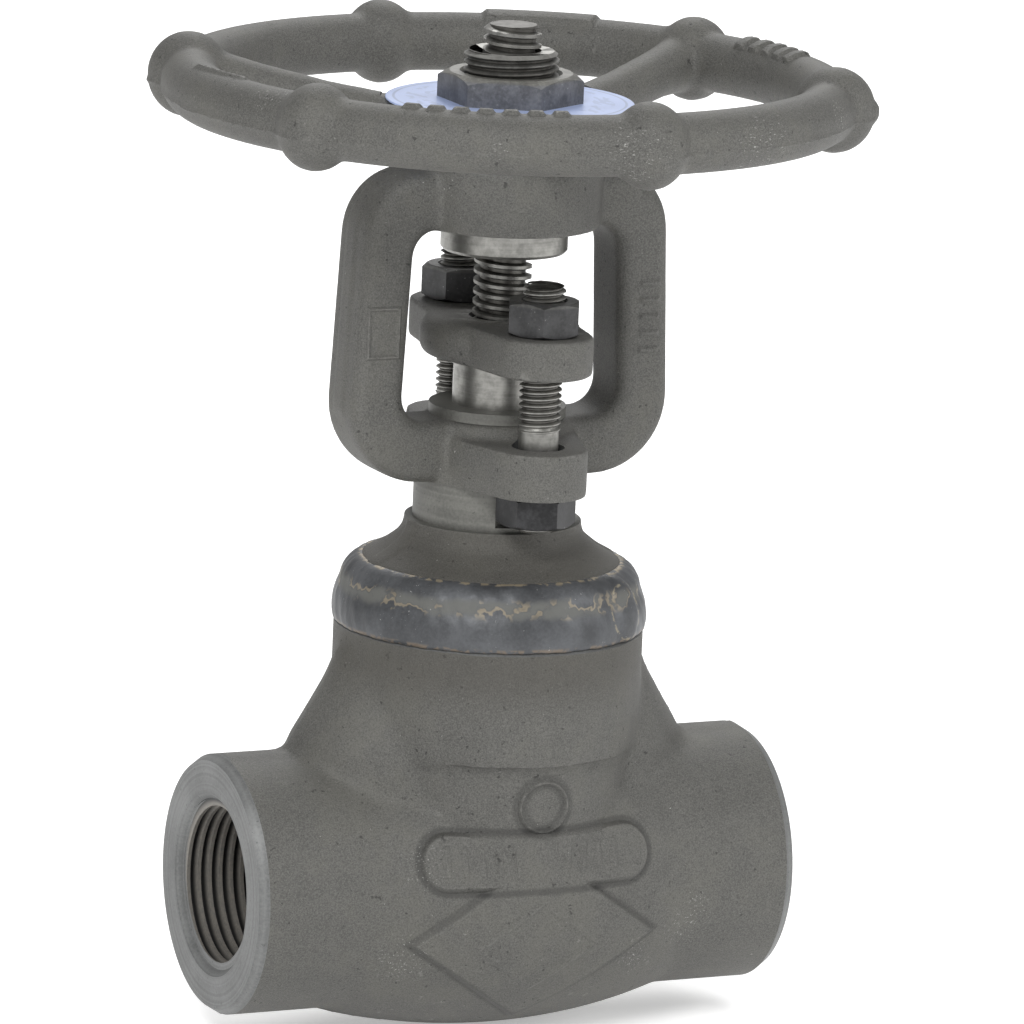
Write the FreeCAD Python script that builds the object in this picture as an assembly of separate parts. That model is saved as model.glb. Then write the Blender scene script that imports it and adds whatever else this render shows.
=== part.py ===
"""Forged-steel globe valve, one-inch threaded ends, welded bonnet with integral yoke.

The origin is under the stem axis at the lowest point of the body. +X runs from the
inlet port to the outlet port, -Y is the front and +Z is up along the stem. The disc
is shut, so every lift is measured up from here.
"""
import FreeCAD, Part

import math
import os

V = FreeCAD.Vector
X_AXIS, Y_AXIS, Z_AXIS = V(1, 0, 0), V(0, 1, 0), V(0, 0, 1)

# ---- Driving dimensions, all in millimetres ----------------------------------------

# Run and ports. The thread radius is the plain wall of a one-inch taper pipe thread.
FACE_TO_FACE = 111.0
PORT_R = 24.85
PORT_CHAMFER = 1.3
THREAD_R = 14.85
THREAD_DEPTH = 20.0
MOUTH_FLARE = 2.55
MOUTH_DEPTH = 1.6

# Body forging. Heights named RISE are measured up from the run axis.
BELLY_DEPTH = 30.2
BELLY_AXIS_DROP = 1.0
BELLY_HALF_LENGTH = 36.0
STEP_DEPTH = 1.0
STEP_RISE = 26.5
NECK_WALL = 8.4
NECK_TOP_RISE = 52.0
SHOULDER_REACH = 39.5
SHOULDER_TOE = 3.5
SHOULDER_HOLLOW = 2.0
SHOULDER_TOP_RISE = 46.0
SHOULDER_HALF_WIDTH = 22.0
PAD_HEIGHT = 0.6
PAD_LENGTH = 46.5
PAD_WIDTH = 10.0
PAD_RISE = 8.0
DIAMOND_WIDTH = 50.0
DIAMOND_HEIGHT = 34.4
DIAMOND_DROP = 7.5

# Flow way through the body
SEAT_BORE_R = 9.0
PASSAGE_R = 8.0
CHAMBER_GAP = 4.0
CHAMBER_FLOOR_RISE = 3.0
LEDGE_WIDTH = 2.0
SPIGOT_LENGTH = 11.7
SEAT_RING_WALL = 3.5
SEAT_RING_HEIGHT = 5.5
SEAT_RING_STANDOUT = 0.5
SEAT_FACE = 1.5
INLET_PASSAGE_DROP = 16.0
INLET_PASSAGE_START_DROP = 3.0

# Disc and stem
DISC_OVERHANG = 0.5
DISC_HEIGHT = 10.0
DISC_HEAD_WALL = 3.5
DISC_HEAD_HEIGHT = 7.0
GUIDE_LUG_WIDTH = 6.0
GUIDE_LUG_BITE = 1.7
STEM_R = 5.5
STEM_HEAD_STEP = 2.0
STEM_HEAD_HEIGHT = 4.0
STEM_COLLAR_STEP = 2.5
STEM_COLLAR_HEIGHT = 5.0
STEM_STANDOUT = 4.8
LIFT = 10.0

# Bonnet and yoke, one forging
WELD_BEVEL = 4.0
FLANGE_HEIGHT = 7.5
CONE_HEIGHT = 6.5
RING_R = 16.4
RING_HEIGHT = 2.4
COLLAR_R = 15.3
COLLAR_HEIGHT = 8.4
LUG_R = 9.3
LUG_HEIGHT = 8.8
BASE_HEIGHT = 11.7
BASE_R = 15.0
NECK_RING_R = 13.8
WINDOW_HALF_WIDTH = 22.2
WINDOW_HEIGHT = 36.5
WINDOW_CORNER_R = 5.0
LEG_WIDTH = 10.6
LEG_DEPTH = 14.5
LEG_EDGE_R = 3.0
YOKE_FOOT_R = 15.0
YOKE_SHOULDER_R = 12.5
ARCH_HEIGHT = 11.0
BOSS_R = 18.0
BOSS_HEIGHT = 12.2
WELD_RISE = 1.0
WELD_SAG = 0.2
WELD_CROWN_SAG = 1.3

# Stuffing box and gland
PACKING_WIDTH = 3.25
BOX_FLOOR_HEIGHT = 58.0
WASHER_HEIGHT = 2.0
PACKING_RINGS = 5
PACKING_RING_HEIGHT = 4.0
GLAND_GAP = 11.0
GLAND_FLANGE_HEIGHT = 7.7
GLAND_FLANGE_R = 14.5
GLAND_EAR_R = 9.6
GLAND_SEAT_DEPTH = 4.0
GLAND_EDGE_R = 1.2
BOLT_OFFSET = 19.0
BOLT_R = 4.0
BOLT_SHANK_R = 3.75
BOLT_HEX = 13.0
BOLT_HEAD_HEIGHT = 6.0
BOLT_SHANK_LENGTH = 13.0
BOLT_STANDOUT = 3.0
NUT_HEIGHT = 6.5

# Yoke sleeve, handwheel and its nut
SLEEVE_FLANGE_R = 12.05
SLEEVE_FLANGE_HEIGHT = 5.0
SLEEVE_SHOULDER = 1.5
SLEEVE_THREAD_R = 9.0
SLEEVE_STANDOUT = 4.2
HUB_R = 17.0
HUB_HEIGHT = 10.6
RIM_R = 60.0
RIM_TUBE_R = 5.65
RIM_RISE = 12.5
KNOB_R = 7.8
KNOB_OUTSET = 1.0
KNOBS = 6
SPOKES = 3
SPOKE_R = 4.5
SPOKE_TAPER = 0.2
PLATE_R = 23.5
PLATE_THICKNESS = 0.4
WHEEL_NUT_HEX = 24.0
WHEEL_NUT_HEIGHT = 5.4

# Clearances
RUNNING_GAP = 0.06
LOOSE_GAP = 0.3
FACE_GAP = 0.1

# ---- Levels and radii that follow from the sizes above -----------------------------

RUN_Z = BELLY_DEPTH
PORT_X = FACE_TO_FACE / 2
MOUTH_R = THREAD_R + MOUTH_FLARE
SEAT_RING_R = SEAT_BORE_R + SEAT_RING_WALL
DISC_R = SEAT_RING_R + DISC_OVERHANG
CHAMBER_R = DISC_R + CHAMBER_GAP
GUIDE_LUG_REACH = CHAMBER_R + GUIDE_LUG_BITE
STEM_HEAD_R = STEM_R + STEM_HEAD_STEP
STEM_COLLAR_R = STEM_R + STEM_COLLAR_STEP
DISC_HEAD_R = STEM_HEAD_R + DISC_HEAD_WALL
BOX_R = STEM_R + PACKING_WIDTH
THREAD_END_X = PORT_X - THREAD_DEPTH
FLOOR_Z = RUN_Z + CHAMBER_FLOOR_RISE
SEAT_TOP_Z = FLOOR_Z + SEAT_RING_STANDOUT
SEAT_RING_Z = SEAT_TOP_Z - SEAT_RING_HEIGHT
NECK_TOP_Z = RUN_Z + NECK_TOP_RISE
LEDGE_Z = NECK_TOP_Z - SPIGOT_LENGTH - LOOSE_GAP
GROOVE_R = GUIDE_LUG_REACH + LOOSE_GAP
SPIGOT_BORE_R = GROOVE_R + LEDGE_WIDTH
NECK_R = SPIGOT_BORE_R + NECK_WALL
CHAMBER_OUTER_R = NECK_R - STEP_DEPTH
FLANGE_R = NECK_R - WELD_BEVEL
STEM_BORE_R = STEM_R + RUNNING_GAP
BACK_SEAT_Z = NECK_TOP_Z + LOOSE_GAP
COLLAR_TOP_Z = BACK_SEAT_Z - LIFT - LOOSE_GAP

FLANGE_TOP_Z = NECK_TOP_Z + FLANGE_HEIGHT
CONE_TOP_Z = FLANGE_TOP_Z + CONE_HEIGHT
RING_TOP_Z = CONE_TOP_Z + RING_HEIGHT
BASE_Z = RING_TOP_Z + COLLAR_HEIGHT
WINDOW_Z = BASE_Z + BASE_HEIGHT
ARCH_Z = WINDOW_Z + WINDOW_HEIGHT
ARCH_TOP_Z = ARCH_Z + ARCH_HEIGHT
BOSS_TOP_Z = ARCH_Z + BOSS_HEIGHT
YOKE_HALF_WIDTH = WINDOW_HALF_WIDTH + LEG_WIDTH

BOX_FLOOR_Z = RUN_Z + BOX_FLOOR_HEIGHT
PACKING_Z = BOX_FLOOR_Z + WASHER_HEIGHT
PACKING_TOP_Z = PACKING_Z + PACKING_RINGS * PACKING_RING_HEIGHT
GLAND_R = BOX_R - 2 * RUNNING_GAP
GLAND_FLANGE_Z = WINDOW_Z + GLAND_GAP
GLAND_FLANGE_TOP_Z = GLAND_FLANGE_Z + GLAND_FLANGE_HEIGHT
NUT_Z = GLAND_FLANGE_TOP_Z + FACE_GAP
BOLT_TOP_Z = NUT_Z + NUT_HEIGHT + BOLT_STANDOUT
BOLT_HOLE_R = BOLT_R + LOOSE_GAP

SLEEVE_R = SLEEVE_THREAD_R + SLEEVE_SHOULDER
SLEEVE_HEX = 2 * (SLEEVE_THREAD_R + FACE_GAP)
HUB_Z = BOSS_TOP_Z + LOOSE_GAP
HUB_TOP_Z = HUB_Z + HUB_HEIGHT
PLATE_TOP_Z = HUB_TOP_Z + PLATE_THICKNESS
WHEEL_NUT_TOP_Z = PLATE_TOP_Z + WHEEL_NUT_HEIGHT
SLEEVE_TOP_Z = WHEEL_NUT_TOP_Z + SLEEVE_STANDOUT
STEM_TOP_Z = SLEEVE_TOP_Z + STEM_STANDOUT
RIM_Z = HUB_Z + RIM_RISE
SPOKE_Z = HUB_Z + SPOKE_R + SPOKE_TAPER + LOOSE_GAP

# ---- Shape helpers -----------------------------------------------------------------


def cylinder(radius, low, high, x=0.0, y=0.0):
    return Part.makeCylinder(radius, high - low, V(x, y, low), Z_AXIS)


def tube(outer, inner, low, high):
    return cylinder(outer, low, high).cut(cylinder(inner, low - 1, high + 1))


def cone(low_radius, high_radius, low, high):
    return Part.makeCone(low_radius, high_radius, high - low, V(0, 0, low), Z_AXIS)


def fuse_all(shapes):
    return shapes[0].multiFuse(shapes[1:]).removeSplitter()


def hexagon(across_flats, low, high, x=0.0, y=0.0, turn=30.0):
    """Hexagonal prism with one corner `turn` degrees from +X."""
    corner_r = across_flats / math.sqrt(3)
    corners = []
    for k in range(7):
        angle = math.radians(turn + 60 * k)
        corners.append(V(x + corner_r * math.cos(angle), y + corner_r * math.sin(angle), low))
    return Part.Face(Part.makePolygon(corners)).extrude(V(0, 0, high - low))


def chamfered_hexagon(across_flats, low, high, x=0.0, y=0.0, turn=30.0):
    """Hexagonal prism whose corners are turned down to 30 degrees at both ends."""
    corner_r = across_flats / math.sqrt(3)
    flat_r = across_flats / 2
    drop = (corner_r - flat_r) * math.tan(math.radians(30))
    profile = Part.makePolygon([
        V(0, 0, low), V(flat_r, 0, low), V(corner_r, 0, low + drop),
        V(corner_r, 0, high - drop), V(flat_r, 0, high), V(0, 0, high), V(0, 0, low)])
    turned = Part.Face(profile).revolve(V(0, 0, 0), Z_AXIS, 360)
    turned.translate(V(x, y, 0))
    return hexagon(across_flats, low, high, x, y, turn).common(turned)


def ellipse_wire(half_x, half_y, z):
    centre = V(0, 0, z)
    if half_x >= half_y:
        curve = Part.Ellipse(centre + V(half_x, 0, 0), centre + V(0, half_y, 0), centre)
    else:
        curve = Part.Ellipse(centre + V(0, half_y, 0), centre - V(half_x, 0, 0), centre)
    return Part.Wire(curve.toShape())


def eared_plate(centre_r, ear_r, offset, low, high):
    """Plate hulled over a centre disc and two ears on the Y axis."""
    parts = [cylinder(centre_r, low, high)]
    for side in (-1, 1):
        parts.append(cylinder(ear_r, low, high, 0, side * offset))
        lean = math.asin((centre_r - ear_r) / offset)
        tangent = V(math.cos(lean), side * math.sin(lean), 0)
        mirror = V(-tangent.x, tangent.y, 0)
        ear = V(0, side * offset, 0)
        corners = [tangent * centre_r, ear + tangent * ear_r, ear + mirror * ear_r, mirror * centre_r]
        corners = [V(c.x, c.y, low) for c in corners + corners[:1]]
        parts.append(Part.Face(Part.makePolygon(corners)).extrude(V(0, 0, high - low)))
    return fuse_all(parts)


def arc_through(a, b, c):
    return Part.Arc(a, b, c).toShape()


# ---- Body ----------------------------------------------------------------------------


def run_cylinder(radius, low_x, high_x, z=RUN_Z):
    return Part.makeCylinder(radius, high_x - low_x, V(low_x, 0, z), X_AXIS)


def belly(extra=0.0):
    """Barrel that swells between the ports, turned about an axis just below the run."""
    axis_z = RUN_Z - BELLY_AXIS_DROP
    middle_r = BELLY_DEPTH - BELLY_AXIS_DROP + extra
    end_r = PORT_R - BELLY_AXIS_DROP - 0.3 + extra
    left, right = -BELLY_HALF_LENGTH, BELLY_HALF_LENGTH
    outline = Part.Wire([
        Part.makeLine(V(left, 0, axis_z), V(left, 0, axis_z + end_r)),
        arc_through(V(left, 0, axis_z + end_r), V(0, 0, axis_z + middle_r), V(right, 0, axis_z + end_r)),
        Part.makeLine(V(right, 0, axis_z + end_r), V(right, 0, axis_z)),
        Part.makeLine(V(right, 0, axis_z), V(left, 0, axis_z))])
    return Part.Face(outline).revolve(V(0, 0, axis_z), X_AXIS, 360)


def shoulders():
    """Webs that slope from the neck down onto both ports, slightly hollow halfway."""
    top = RUN_Z + SHOULDER_TOP_RISE
    step = RUN_Z + STEP_RISE
    halfway = (SHOULDER_REACH + NECK_R) / 2 - SHOULDER_HOLLOW
    sections = [
        ellipse_wire(SHOULDER_REACH + SHOULDER_TOE, SHOULDER_HALF_WIDTH, RUN_Z + STEP_RISE / 2),
        ellipse_wire(SHOULDER_REACH, SHOULDER_HALF_WIDTH, step),
        ellipse_wire(halfway, SHOULDER_HALF_WIDTH * 0.9, (top + step) / 2 + SHOULDER_HOLLOW),
        ellipse_wire(NECK_R - STEP_DEPTH, SHOULDER_HALF_WIDTH * 0.75, top)]
    return Part.makeLoft(sections, True, True)


def neck():
    """Round neck whose top is bevelled for the bonnet weld."""
    low = RUN_Z + STEP_RISE
    profile = Part.makePolygon([
        V(0, 0, low), V(NECK_R, 0, low), V(NECK_R, 0, NECK_TOP_Z - WELD_BEVEL),
        V(FLANGE_R, 0, NECK_TOP_Z), V(0, 0, NECK_TOP_Z), V(0, 0, low)])
    return Part.Face(profile).revolve(V(0, 0, 0), Z_AXIS, 360)


def pad_prism():
    """Upright slab, seen from the front as a bar with round ends."""
    z = RUN_Z + PAD_RISE
    half = (PAD_LENGTH - PAD_WIDTH) / 2
    bar = Part.makeBox(2 * half, NECK_R, PAD_WIDTH, V(-half, -NECK_R - 2, z - PAD_WIDTH / 2))
    ends = [Part.makeCylinder(PAD_WIDTH / 2, NECK_R, V(side * half, -NECK_R - 2, z), Y_AXIS)
            for side in (-1, 1)]
    return fuse_all([bar] + ends)


def diamond_prism():
    """Upright slab, seen from the front as a diamond that stands on a corner."""
    z = RUN_Z - DIAMOND_DROP
    side = DIAMOND_WIDTH / 2
    tip = DIAMOND_HEIGHT / 2
    outline = [(-side, 0), (0, -tip), (side, 0), (0, tip), (-side, 0)]
    corners = [V(x, -NECK_R - 2, z + rise) for x, rise in outline]
    return Part.Face(Part.makePolygon(corners)).extrude(V(0, NECK_R, 0))


def raised_marks():
    """Raised bar and diamond that follow the front of the body."""
    skin = fuse_all([belly(PAD_HEIGHT), cylinder(CHAMBER_OUTER_R + PAD_HEIGHT, RUN_Z, RUN_Z + STEP_RISE)])
    return [skin.common(pad_prism()), skin.common(diamond_prism())]


def body_outside():
    ports = run_cylinder(PORT_R, -PORT_X, PORT_X)
    rims = [edge for edge in ports.Edges if edge.Closed and abs(edge.BoundBox.XLength) < 1e-6]
    ports = ports.makeChamfer(PORT_CHAMFER, rims)
    chamber = cylinder(CHAMBER_OUTER_R, RUN_Z, RUN_Z + STEP_RISE)
    return fuse_all([ports, belly(), chamber, shoulders(), neck()] + raised_marks())


def port_bore(side):
    bore = run_cylinder(THREAD_R, THREAD_END_X, PORT_X + 1)
    mouth_slope = (MOUTH_R - THREAD_R) / MOUTH_DEPTH
    mouth = Part.makeCone(THREAD_R, MOUTH_R + mouth_slope, MOUTH_DEPTH + 1,
                          V(PORT_X - MOUTH_DEPTH, 0, RUN_Z), X_AXIS)
    cutter = bore.fuse(mouth)
    if side < 0:
        cutter.rotate(V(0, 0, 0), Z_AXIS, 180)
    return cutter


def passage(start, end, radius):
    return Part.makeCylinder(radius, (end - start).Length, start, end - start)


def flow_way():
    """Inlet passes down and up through the seat; the outlet leaves above the seat."""
    low_z = RUN_Z - INLET_PASSAGE_DROP
    inlet_start = V(-THREAD_END_X - 1, 0, RUN_Z - INLET_PASSAGE_START_DROP)
    inlet = passage(inlet_start, V(0, 0, low_z), PASSAGE_R)
    well = cylinder(SEAT_BORE_R, low_z - 1, SEAT_RING_Z + 1)
    pocket = cylinder(SEAT_RING_R, SEAT_RING_Z, FLOOR_Z + 1)
    chamber = cylinder(CHAMBER_R, FLOOR_Z, NECK_TOP_Z + 1)
    outlet_start = V(CHAMBER_R - 3, 0, FLOOR_Z + PASSAGE_R + LOOSE_GAP)
    outlet = passage(outlet_start, V(THREAD_END_X + 1, 0, RUN_Z), PASSAGE_R)
    spigot_bore = cylinder(SPIGOT_BORE_R, LEDGE_Z, NECK_TOP_Z + 1)
    groove_width = GUIDE_LUG_WIDTH + 2 * LOOSE_GAP
    grooves = Part.makeBox(groove_width, 2 * GROOVE_R, LEDGE_Z - FLOOR_Z,
                           V(-groove_width / 2, -GROOVE_R, FLOOR_Z))
    grooves = grooves.common(cylinder(GROOVE_R, FLOOR_Z, LEDGE_Z))
    return [inlet, well, pocket, chamber, outlet, spigot_bore, grooves]


def body():
    shape = body_outside()
    for cutter in flow_way() + [port_bore(-1), port_bore(1)]:
        shape = shape.cut(cutter)
    return shape


def seat_ring():
    ring = tube(SEAT_RING_R, SEAT_BORE_R, SEAT_RING_Z, SEAT_TOP_Z)
    face = cone(SEAT_BORE_R, SEAT_BORE_R + SEAT_FACE + 1, SEAT_TOP_Z - SEAT_FACE, SEAT_TOP_Z + 1)
    return ring.cut(face)


# ---- Disc and stem -------------------------------------------------------------------


def disc_levels():
    skirt = SEAT_TOP_Z + LOOSE_GAP
    return skirt, skirt + DISC_HEIGHT, skirt + DISC_HEIGHT + DISC_HEAD_HEIGHT


def disc():
    """Plug disc with a bevelled seat, two guide lugs and a slot for the stem head."""
    skirt, waist, top = disc_levels()
    nose = SEAT_TOP_Z - SEAT_FACE + FACE_GAP
    seat_bevel = cone(SEAT_BORE_R - FACE_GAP, SEAT_BORE_R - FACE_GAP + skirt - nose, nose, skirt)
    spread = Part.makeBox(GUIDE_LUG_WIDTH, 2 * GUIDE_LUG_REACH, DISC_HEIGHT - 2,
                          V(-GUIDE_LUG_WIDTH / 2, -GUIDE_LUG_REACH, skirt + 1))
    lugs = spread.common(cylinder(GUIDE_LUG_REACH, skirt, waist))
    blank = fuse_all([seat_bevel, cylinder(DISC_R, skirt, waist), cylinder(DISC_HEAD_R, waist, top), lugs])
    slot_r = STEM_HEAD_R + LOOSE_GAP
    gate_r = STEM_R + LOOSE_GAP
    slot_low = top - DISC_HEAD_HEIGHT / 2 - STEM_HEAD_HEIGHT - LOOSE_GAP
    slot_high = top - DISC_HEAD_HEIGHT / 2
    for radius, low, high in ((slot_r, slot_low, slot_high), (gate_r, slot_high - 1, top + 1)):
        mouth = Part.makeBox(DISC_R + 1, 2 * radius, high - low, V(0, -radius, low))
        blank = blank.cut(cylinder(radius, low, high).fuse(mouth))
    return blank


def stem():
    """Rising stem: slotted head in the disc, back-seat collar and plain threaded shank."""
    top = disc_levels()[2]
    head_top = top - DISC_HEAD_HEIGHT / 2 - FACE_GAP
    head = cylinder(STEM_HEAD_R, head_top - STEM_HEAD_HEIGHT, head_top)
    shank = cylinder(STEM_R, head_top - 1, STEM_TOP_Z)
    bevel = STEM_COLLAR_R - STEM_R
    collar_low = COLLAR_TOP_Z - bevel - STEM_COLLAR_HEIGHT
    collar = cylinder(STEM_COLLAR_R, collar_low, COLLAR_TOP_Z - bevel)
    back_seat = cone(STEM_COLLAR_R, STEM_R, COLLAR_TOP_Z - bevel, COLLAR_TOP_Z)
    tip = cylinder(STEM_R + 1, STEM_TOP_Z - 1, STEM_TOP_Z + 1)
    tip = tip.cut(cone(STEM_R, STEM_R - 1, STEM_TOP_Z - 1, STEM_TOP_Z))
    return fuse_all([head, shank, collar, back_seat]).cut(tip)


# ---- Bonnet and yoke -----------------------------------------------------------------


def bonnet_turned():
    """Spigot, welded flange, cone, ring and machined collar below the yoke."""
    spigot_r = SPIGOT_BORE_R - FACE_GAP
    profile = Part.makePolygon([
        V(0, 0, NECK_TOP_Z - SPIGOT_LENGTH), V(spigot_r, 0, NECK_TOP_Z - SPIGOT_LENGTH),
        V(spigot_r, 0, NECK_TOP_Z), V(FLANGE_R, 0, NECK_TOP_Z), V(FLANGE_R, 0, FLANGE_TOP_Z),
        V(RING_R, 0, CONE_TOP_Z), V(RING_R, 0, RING_TOP_Z), V(COLLAR_R, 0, RING_TOP_Z),
        V(COLLAR_R, 0, BASE_Z + 1), V(0, 0, BASE_Z + 1), V(0, 0, NECK_TOP_Z - SPIGOT_LENGTH)])
    return Part.Face(profile).revolve(V(0, 0, 0), Z_AXIS, 360)


def yoke_blank():
    """Upright slab in the plane of the run, round at all four outer corners."""
    blank = Part.makeBox(2 * YOKE_HALF_WIDTH, LEG_DEPTH, ARCH_TOP_Z - BASE_Z,
                         V(-YOKE_HALF_WIDTH, -LEG_DEPTH / 2, BASE_Z))
    for radius, z in ((YOKE_FOOT_R, BASE_Z), (YOKE_SHOULDER_R, ARCH_TOP_Z)):
        corners = []
        for edge in blank.Edges:
            box = edge.BoundBox
            outermost = abs(abs(box.XMin) - YOKE_HALF_WIDTH) < 1e-6 and abs(box.XMax - box.XMin) < 1e-6
            if outermost and abs(box.ZMin - z) < 1e-6 and abs(box.ZMax - z) < 1e-6:
                corners.append(edge)
        blank = blank.makeFillet(radius, corners)
    return blank


def yoke_frame():
    """Both legs, the foot and the arch, with the window cut through and edges rounded."""
    window = Part.makeBox(2 * WINDOW_HALF_WIDTH, LEG_DEPTH + 2, WINDOW_HEIGHT,
                          V(-WINDOW_HALF_WIDTH, -LEG_DEPTH / 2 - 1, WINDOW_Z))
    corners = [edge for edge in window.Edges if edge.BoundBox.YLength > LEG_DEPTH]
    window = window.makeFillet(WINDOW_CORNER_R, corners)
    frame = yoke_blank().cut(window)
    rims = [edge for edge in frame.Edges if edge.BoundBox.YLength < 1e-6]
    return frame.makeFillet(min(LEG_EDGE_R, LEG_DEPTH / 3, LEG_WIDTH / 3), rims)


def bolt_head_flat(side):
    """Flat milled in the collar under each lug, which stops the bolt head turning."""
    near = BOLT_OFFSET - BOLT_HEX / 2 - FACE_GAP
    depth = COLLAR_R + 1
    low_y = near if side > 0 else -near - depth
    height = BOLT_HEAD_HEIGHT + LOOSE_GAP
    return Part.makeBox(2 * COLLAR_R, depth, height, V(-COLLAR_R, low_y, BASE_Z - height))


def bonnet_yoke():
    lugs = eared_plate(BASE_R, LUG_R, BOLT_OFFSET, BASE_Z, BASE_Z + LUG_HEIGHT)
    neck_ring = cylinder(NECK_RING_R, BASE_Z, WINDOW_Z)
    boss = cylinder(BOSS_R, ARCH_Z, BOSS_TOP_Z)
    shape = fuse_all([bonnet_turned(), yoke_frame(), lugs, neck_ring, boss])
    pocket_r = STEM_COLLAR_R + LOOSE_GAP
    seat_low = BACK_SEAT_Z - (pocket_r - STEM_BORE_R)
    cutters = [
        cylinder(pocket_r, NECK_TOP_Z - SPIGOT_LENGTH - 1, seat_low),
        cone(pocket_r, STEM_BORE_R, seat_low, BACK_SEAT_Z),
        cylinder(STEM_BORE_R, BACK_SEAT_Z - 1, BOX_FLOOR_Z + 1),
        cylinder(BOX_R, BOX_FLOOR_Z, WINDOW_Z + 1),
        cylinder(SLEEVE_R + RUNNING_GAP, ARCH_Z - 1, BOSS_TOP_Z + 1)]
    for side in (-1, 1):
        cutters.append(cylinder(BOLT_HOLE_R, BASE_Z - 1, BASE_Z + LUG_HEIGHT + 1, 0, side * BOLT_OFFSET))
        cutters.append(bolt_head_flat(side))
    for cutter in cutters:
        shape = shape.cut(cutter)
    return shape


def bonnet_weld():
    """Seal weld that fills the bevel between neck and bonnet and swells above it."""
    low = NECK_TOP_Z - WELD_BEVEL
    top = FLANGE_TOP_Z + WELD_RISE
    outline = Part.Wire([
        Part.makeLine(V(NECK_R - WELD_SAG, 0, low), V(FLANGE_R, 0, NECK_TOP_Z)),
        Part.makeLine(V(FLANGE_R, 0, NECK_TOP_Z), V(FLANGE_R, 0, FLANGE_TOP_Z)),
        Part.makeLine(V(FLANGE_R, 0, FLANGE_TOP_Z), V(FLANGE_R - WELD_SAG, 0, top)),
        arc_through(V(FLANGE_R - WELD_SAG, 0, top), V(NECK_R - WELD_CROWN_SAG, 0, (low + top) / 2 + 2),
                    V(NECK_R - WELD_SAG, 0, low))])
    bead = Part.Face(outline).revolve(V(0, 0, 0), Z_AXIS, 360)
    return bead.cut(bonnet_turned()).cut(neck())


# ---- Stuffing box and gland ----------------------------------------------------------


def packing_washer():
    return tube(BOX_R - RUNNING_GAP, STEM_BORE_R, BOX_FLOOR_Z, PACKING_Z)


def packing_ring(index):
    low = PACKING_Z + index * PACKING_RING_HEIGHT
    return tube(BOX_R - RUNNING_GAP, STEM_BORE_R, low, low + PACKING_RING_HEIGHT)


def gland():
    """Plain bush that presses the packing; its top seats inside the gland flange."""
    top = GLAND_FLANGE_Z + GLAND_SEAT_DEPTH
    bush = tube(GLAND_R, STEM_BORE_R, PACKING_TOP_Z + FACE_GAP, top)
    lead = cylinder(GLAND_R + 1, top - 1, top + 1).cut(cone(GLAND_R, GLAND_R - 1, top - 1, top))
    return bush.cut(lead)


def gland_flange():
    plate = eared_plate(GLAND_FLANGE_R, GLAND_EAR_R, BOLT_OFFSET, GLAND_FLANGE_Z, GLAND_FLANGE_TOP_Z)
    rims = [edge for edge in plate.Edges if edge.BoundBox.ZLength < 1e-6]
    plate = plate.makeFillet(GLAND_EDGE_R, rims)
    seat = cylinder(GLAND_R + RUNNING_GAP, GLAND_FLANGE_Z - 1, GLAND_FLANGE_Z + GLAND_SEAT_DEPTH + FACE_GAP)
    way = cylinder(STEM_R + 2 * LOOSE_GAP, GLAND_FLANGE_Z, GLAND_FLANGE_TOP_Z + 1)
    plate = plate.cut(seat).cut(way)
    for side in (-1, 1):
        hole = cylinder(BOLT_HOLE_R, GLAND_FLANGE_Z - 1, GLAND_FLANGE_TOP_Z + 1, 0, side * BOLT_OFFSET)
        plate = plate.cut(hole)
    return plate


def gland_bolt(side):
    """Hexagon bolt pushed up through its lug, with a plain shank under the thread."""
    y = side * BOLT_OFFSET
    head = chamfered_hexagon(BOLT_HEX, BASE_Z - BOLT_HEAD_HEIGHT, BASE_Z, 0, y, 0.0)
    shank = cylinder(BOLT_SHANK_R, BASE_Z, BASE_Z + BOLT_SHANK_LENGTH, 0, y)
    thread = cylinder(BOLT_R, BASE_Z + BOLT_SHANK_LENGTH, BOLT_TOP_Z, 0, y)
    return fuse_all([head, shank, thread])


def gland_nut(side):
    y = side * BOLT_OFFSET
    blank = chamfered_hexagon(BOLT_HEX, NUT_Z, NUT_Z + NUT_HEIGHT, 0, y, 30.0)
    return blank.cut(cylinder(BOLT_R + RUNNING_GAP, NUT_Z - 1, NUT_Z + NUT_HEIGHT + 1, 0, y))


# ---- Yoke sleeve, handwheel and nut --------------------------------------------------


def yoke_sleeve():
    """Turning nut of the stem: thrust flange, journal, hexagon drive and upper thread."""
    flange_top = ARCH_Z - FACE_GAP
    flange = cylinder(SLEEVE_FLANGE_R, flange_top - SLEEVE_FLANGE_HEIGHT, flange_top)
    journal = cylinder(SLEEVE_R, flange_top - 1, HUB_Z)
    drive = hexagon(SLEEVE_HEX, HUB_Z - 1, HUB_TOP_Z - FACE_GAP)
    thread = cylinder(SLEEVE_THREAD_R, HUB_Z, SLEEVE_TOP_Z)
    drive = drive.common(cylinder(SLEEVE_R - FACE_GAP, HUB_Z - 1, HUB_TOP_Z))
    bore = cylinder(STEM_BORE_R, flange_top - SLEEVE_FLANGE_HEIGHT - 1, SLEEVE_TOP_Z + 1)
    return fuse_all([flange, journal, drive, thread]).cut(bore)


def spoke(angle):
    """Round spoke that falls from the rim to the lower hub."""
    start = V(HUB_R - SPOKE_R, 0, SPOKE_Z)
    end = V(RIM_R - 1, 0, RIM_Z)
    thick, thin = SPOKE_R + SPOKE_TAPER, SPOKE_R - SPOKE_TAPER
    arm = Part.makeCone(thick, thin, (end - start).Length, start, end - start)
    arm.rotate(V(0, 0, 0), Z_AXIS, angle)
    return arm


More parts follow.
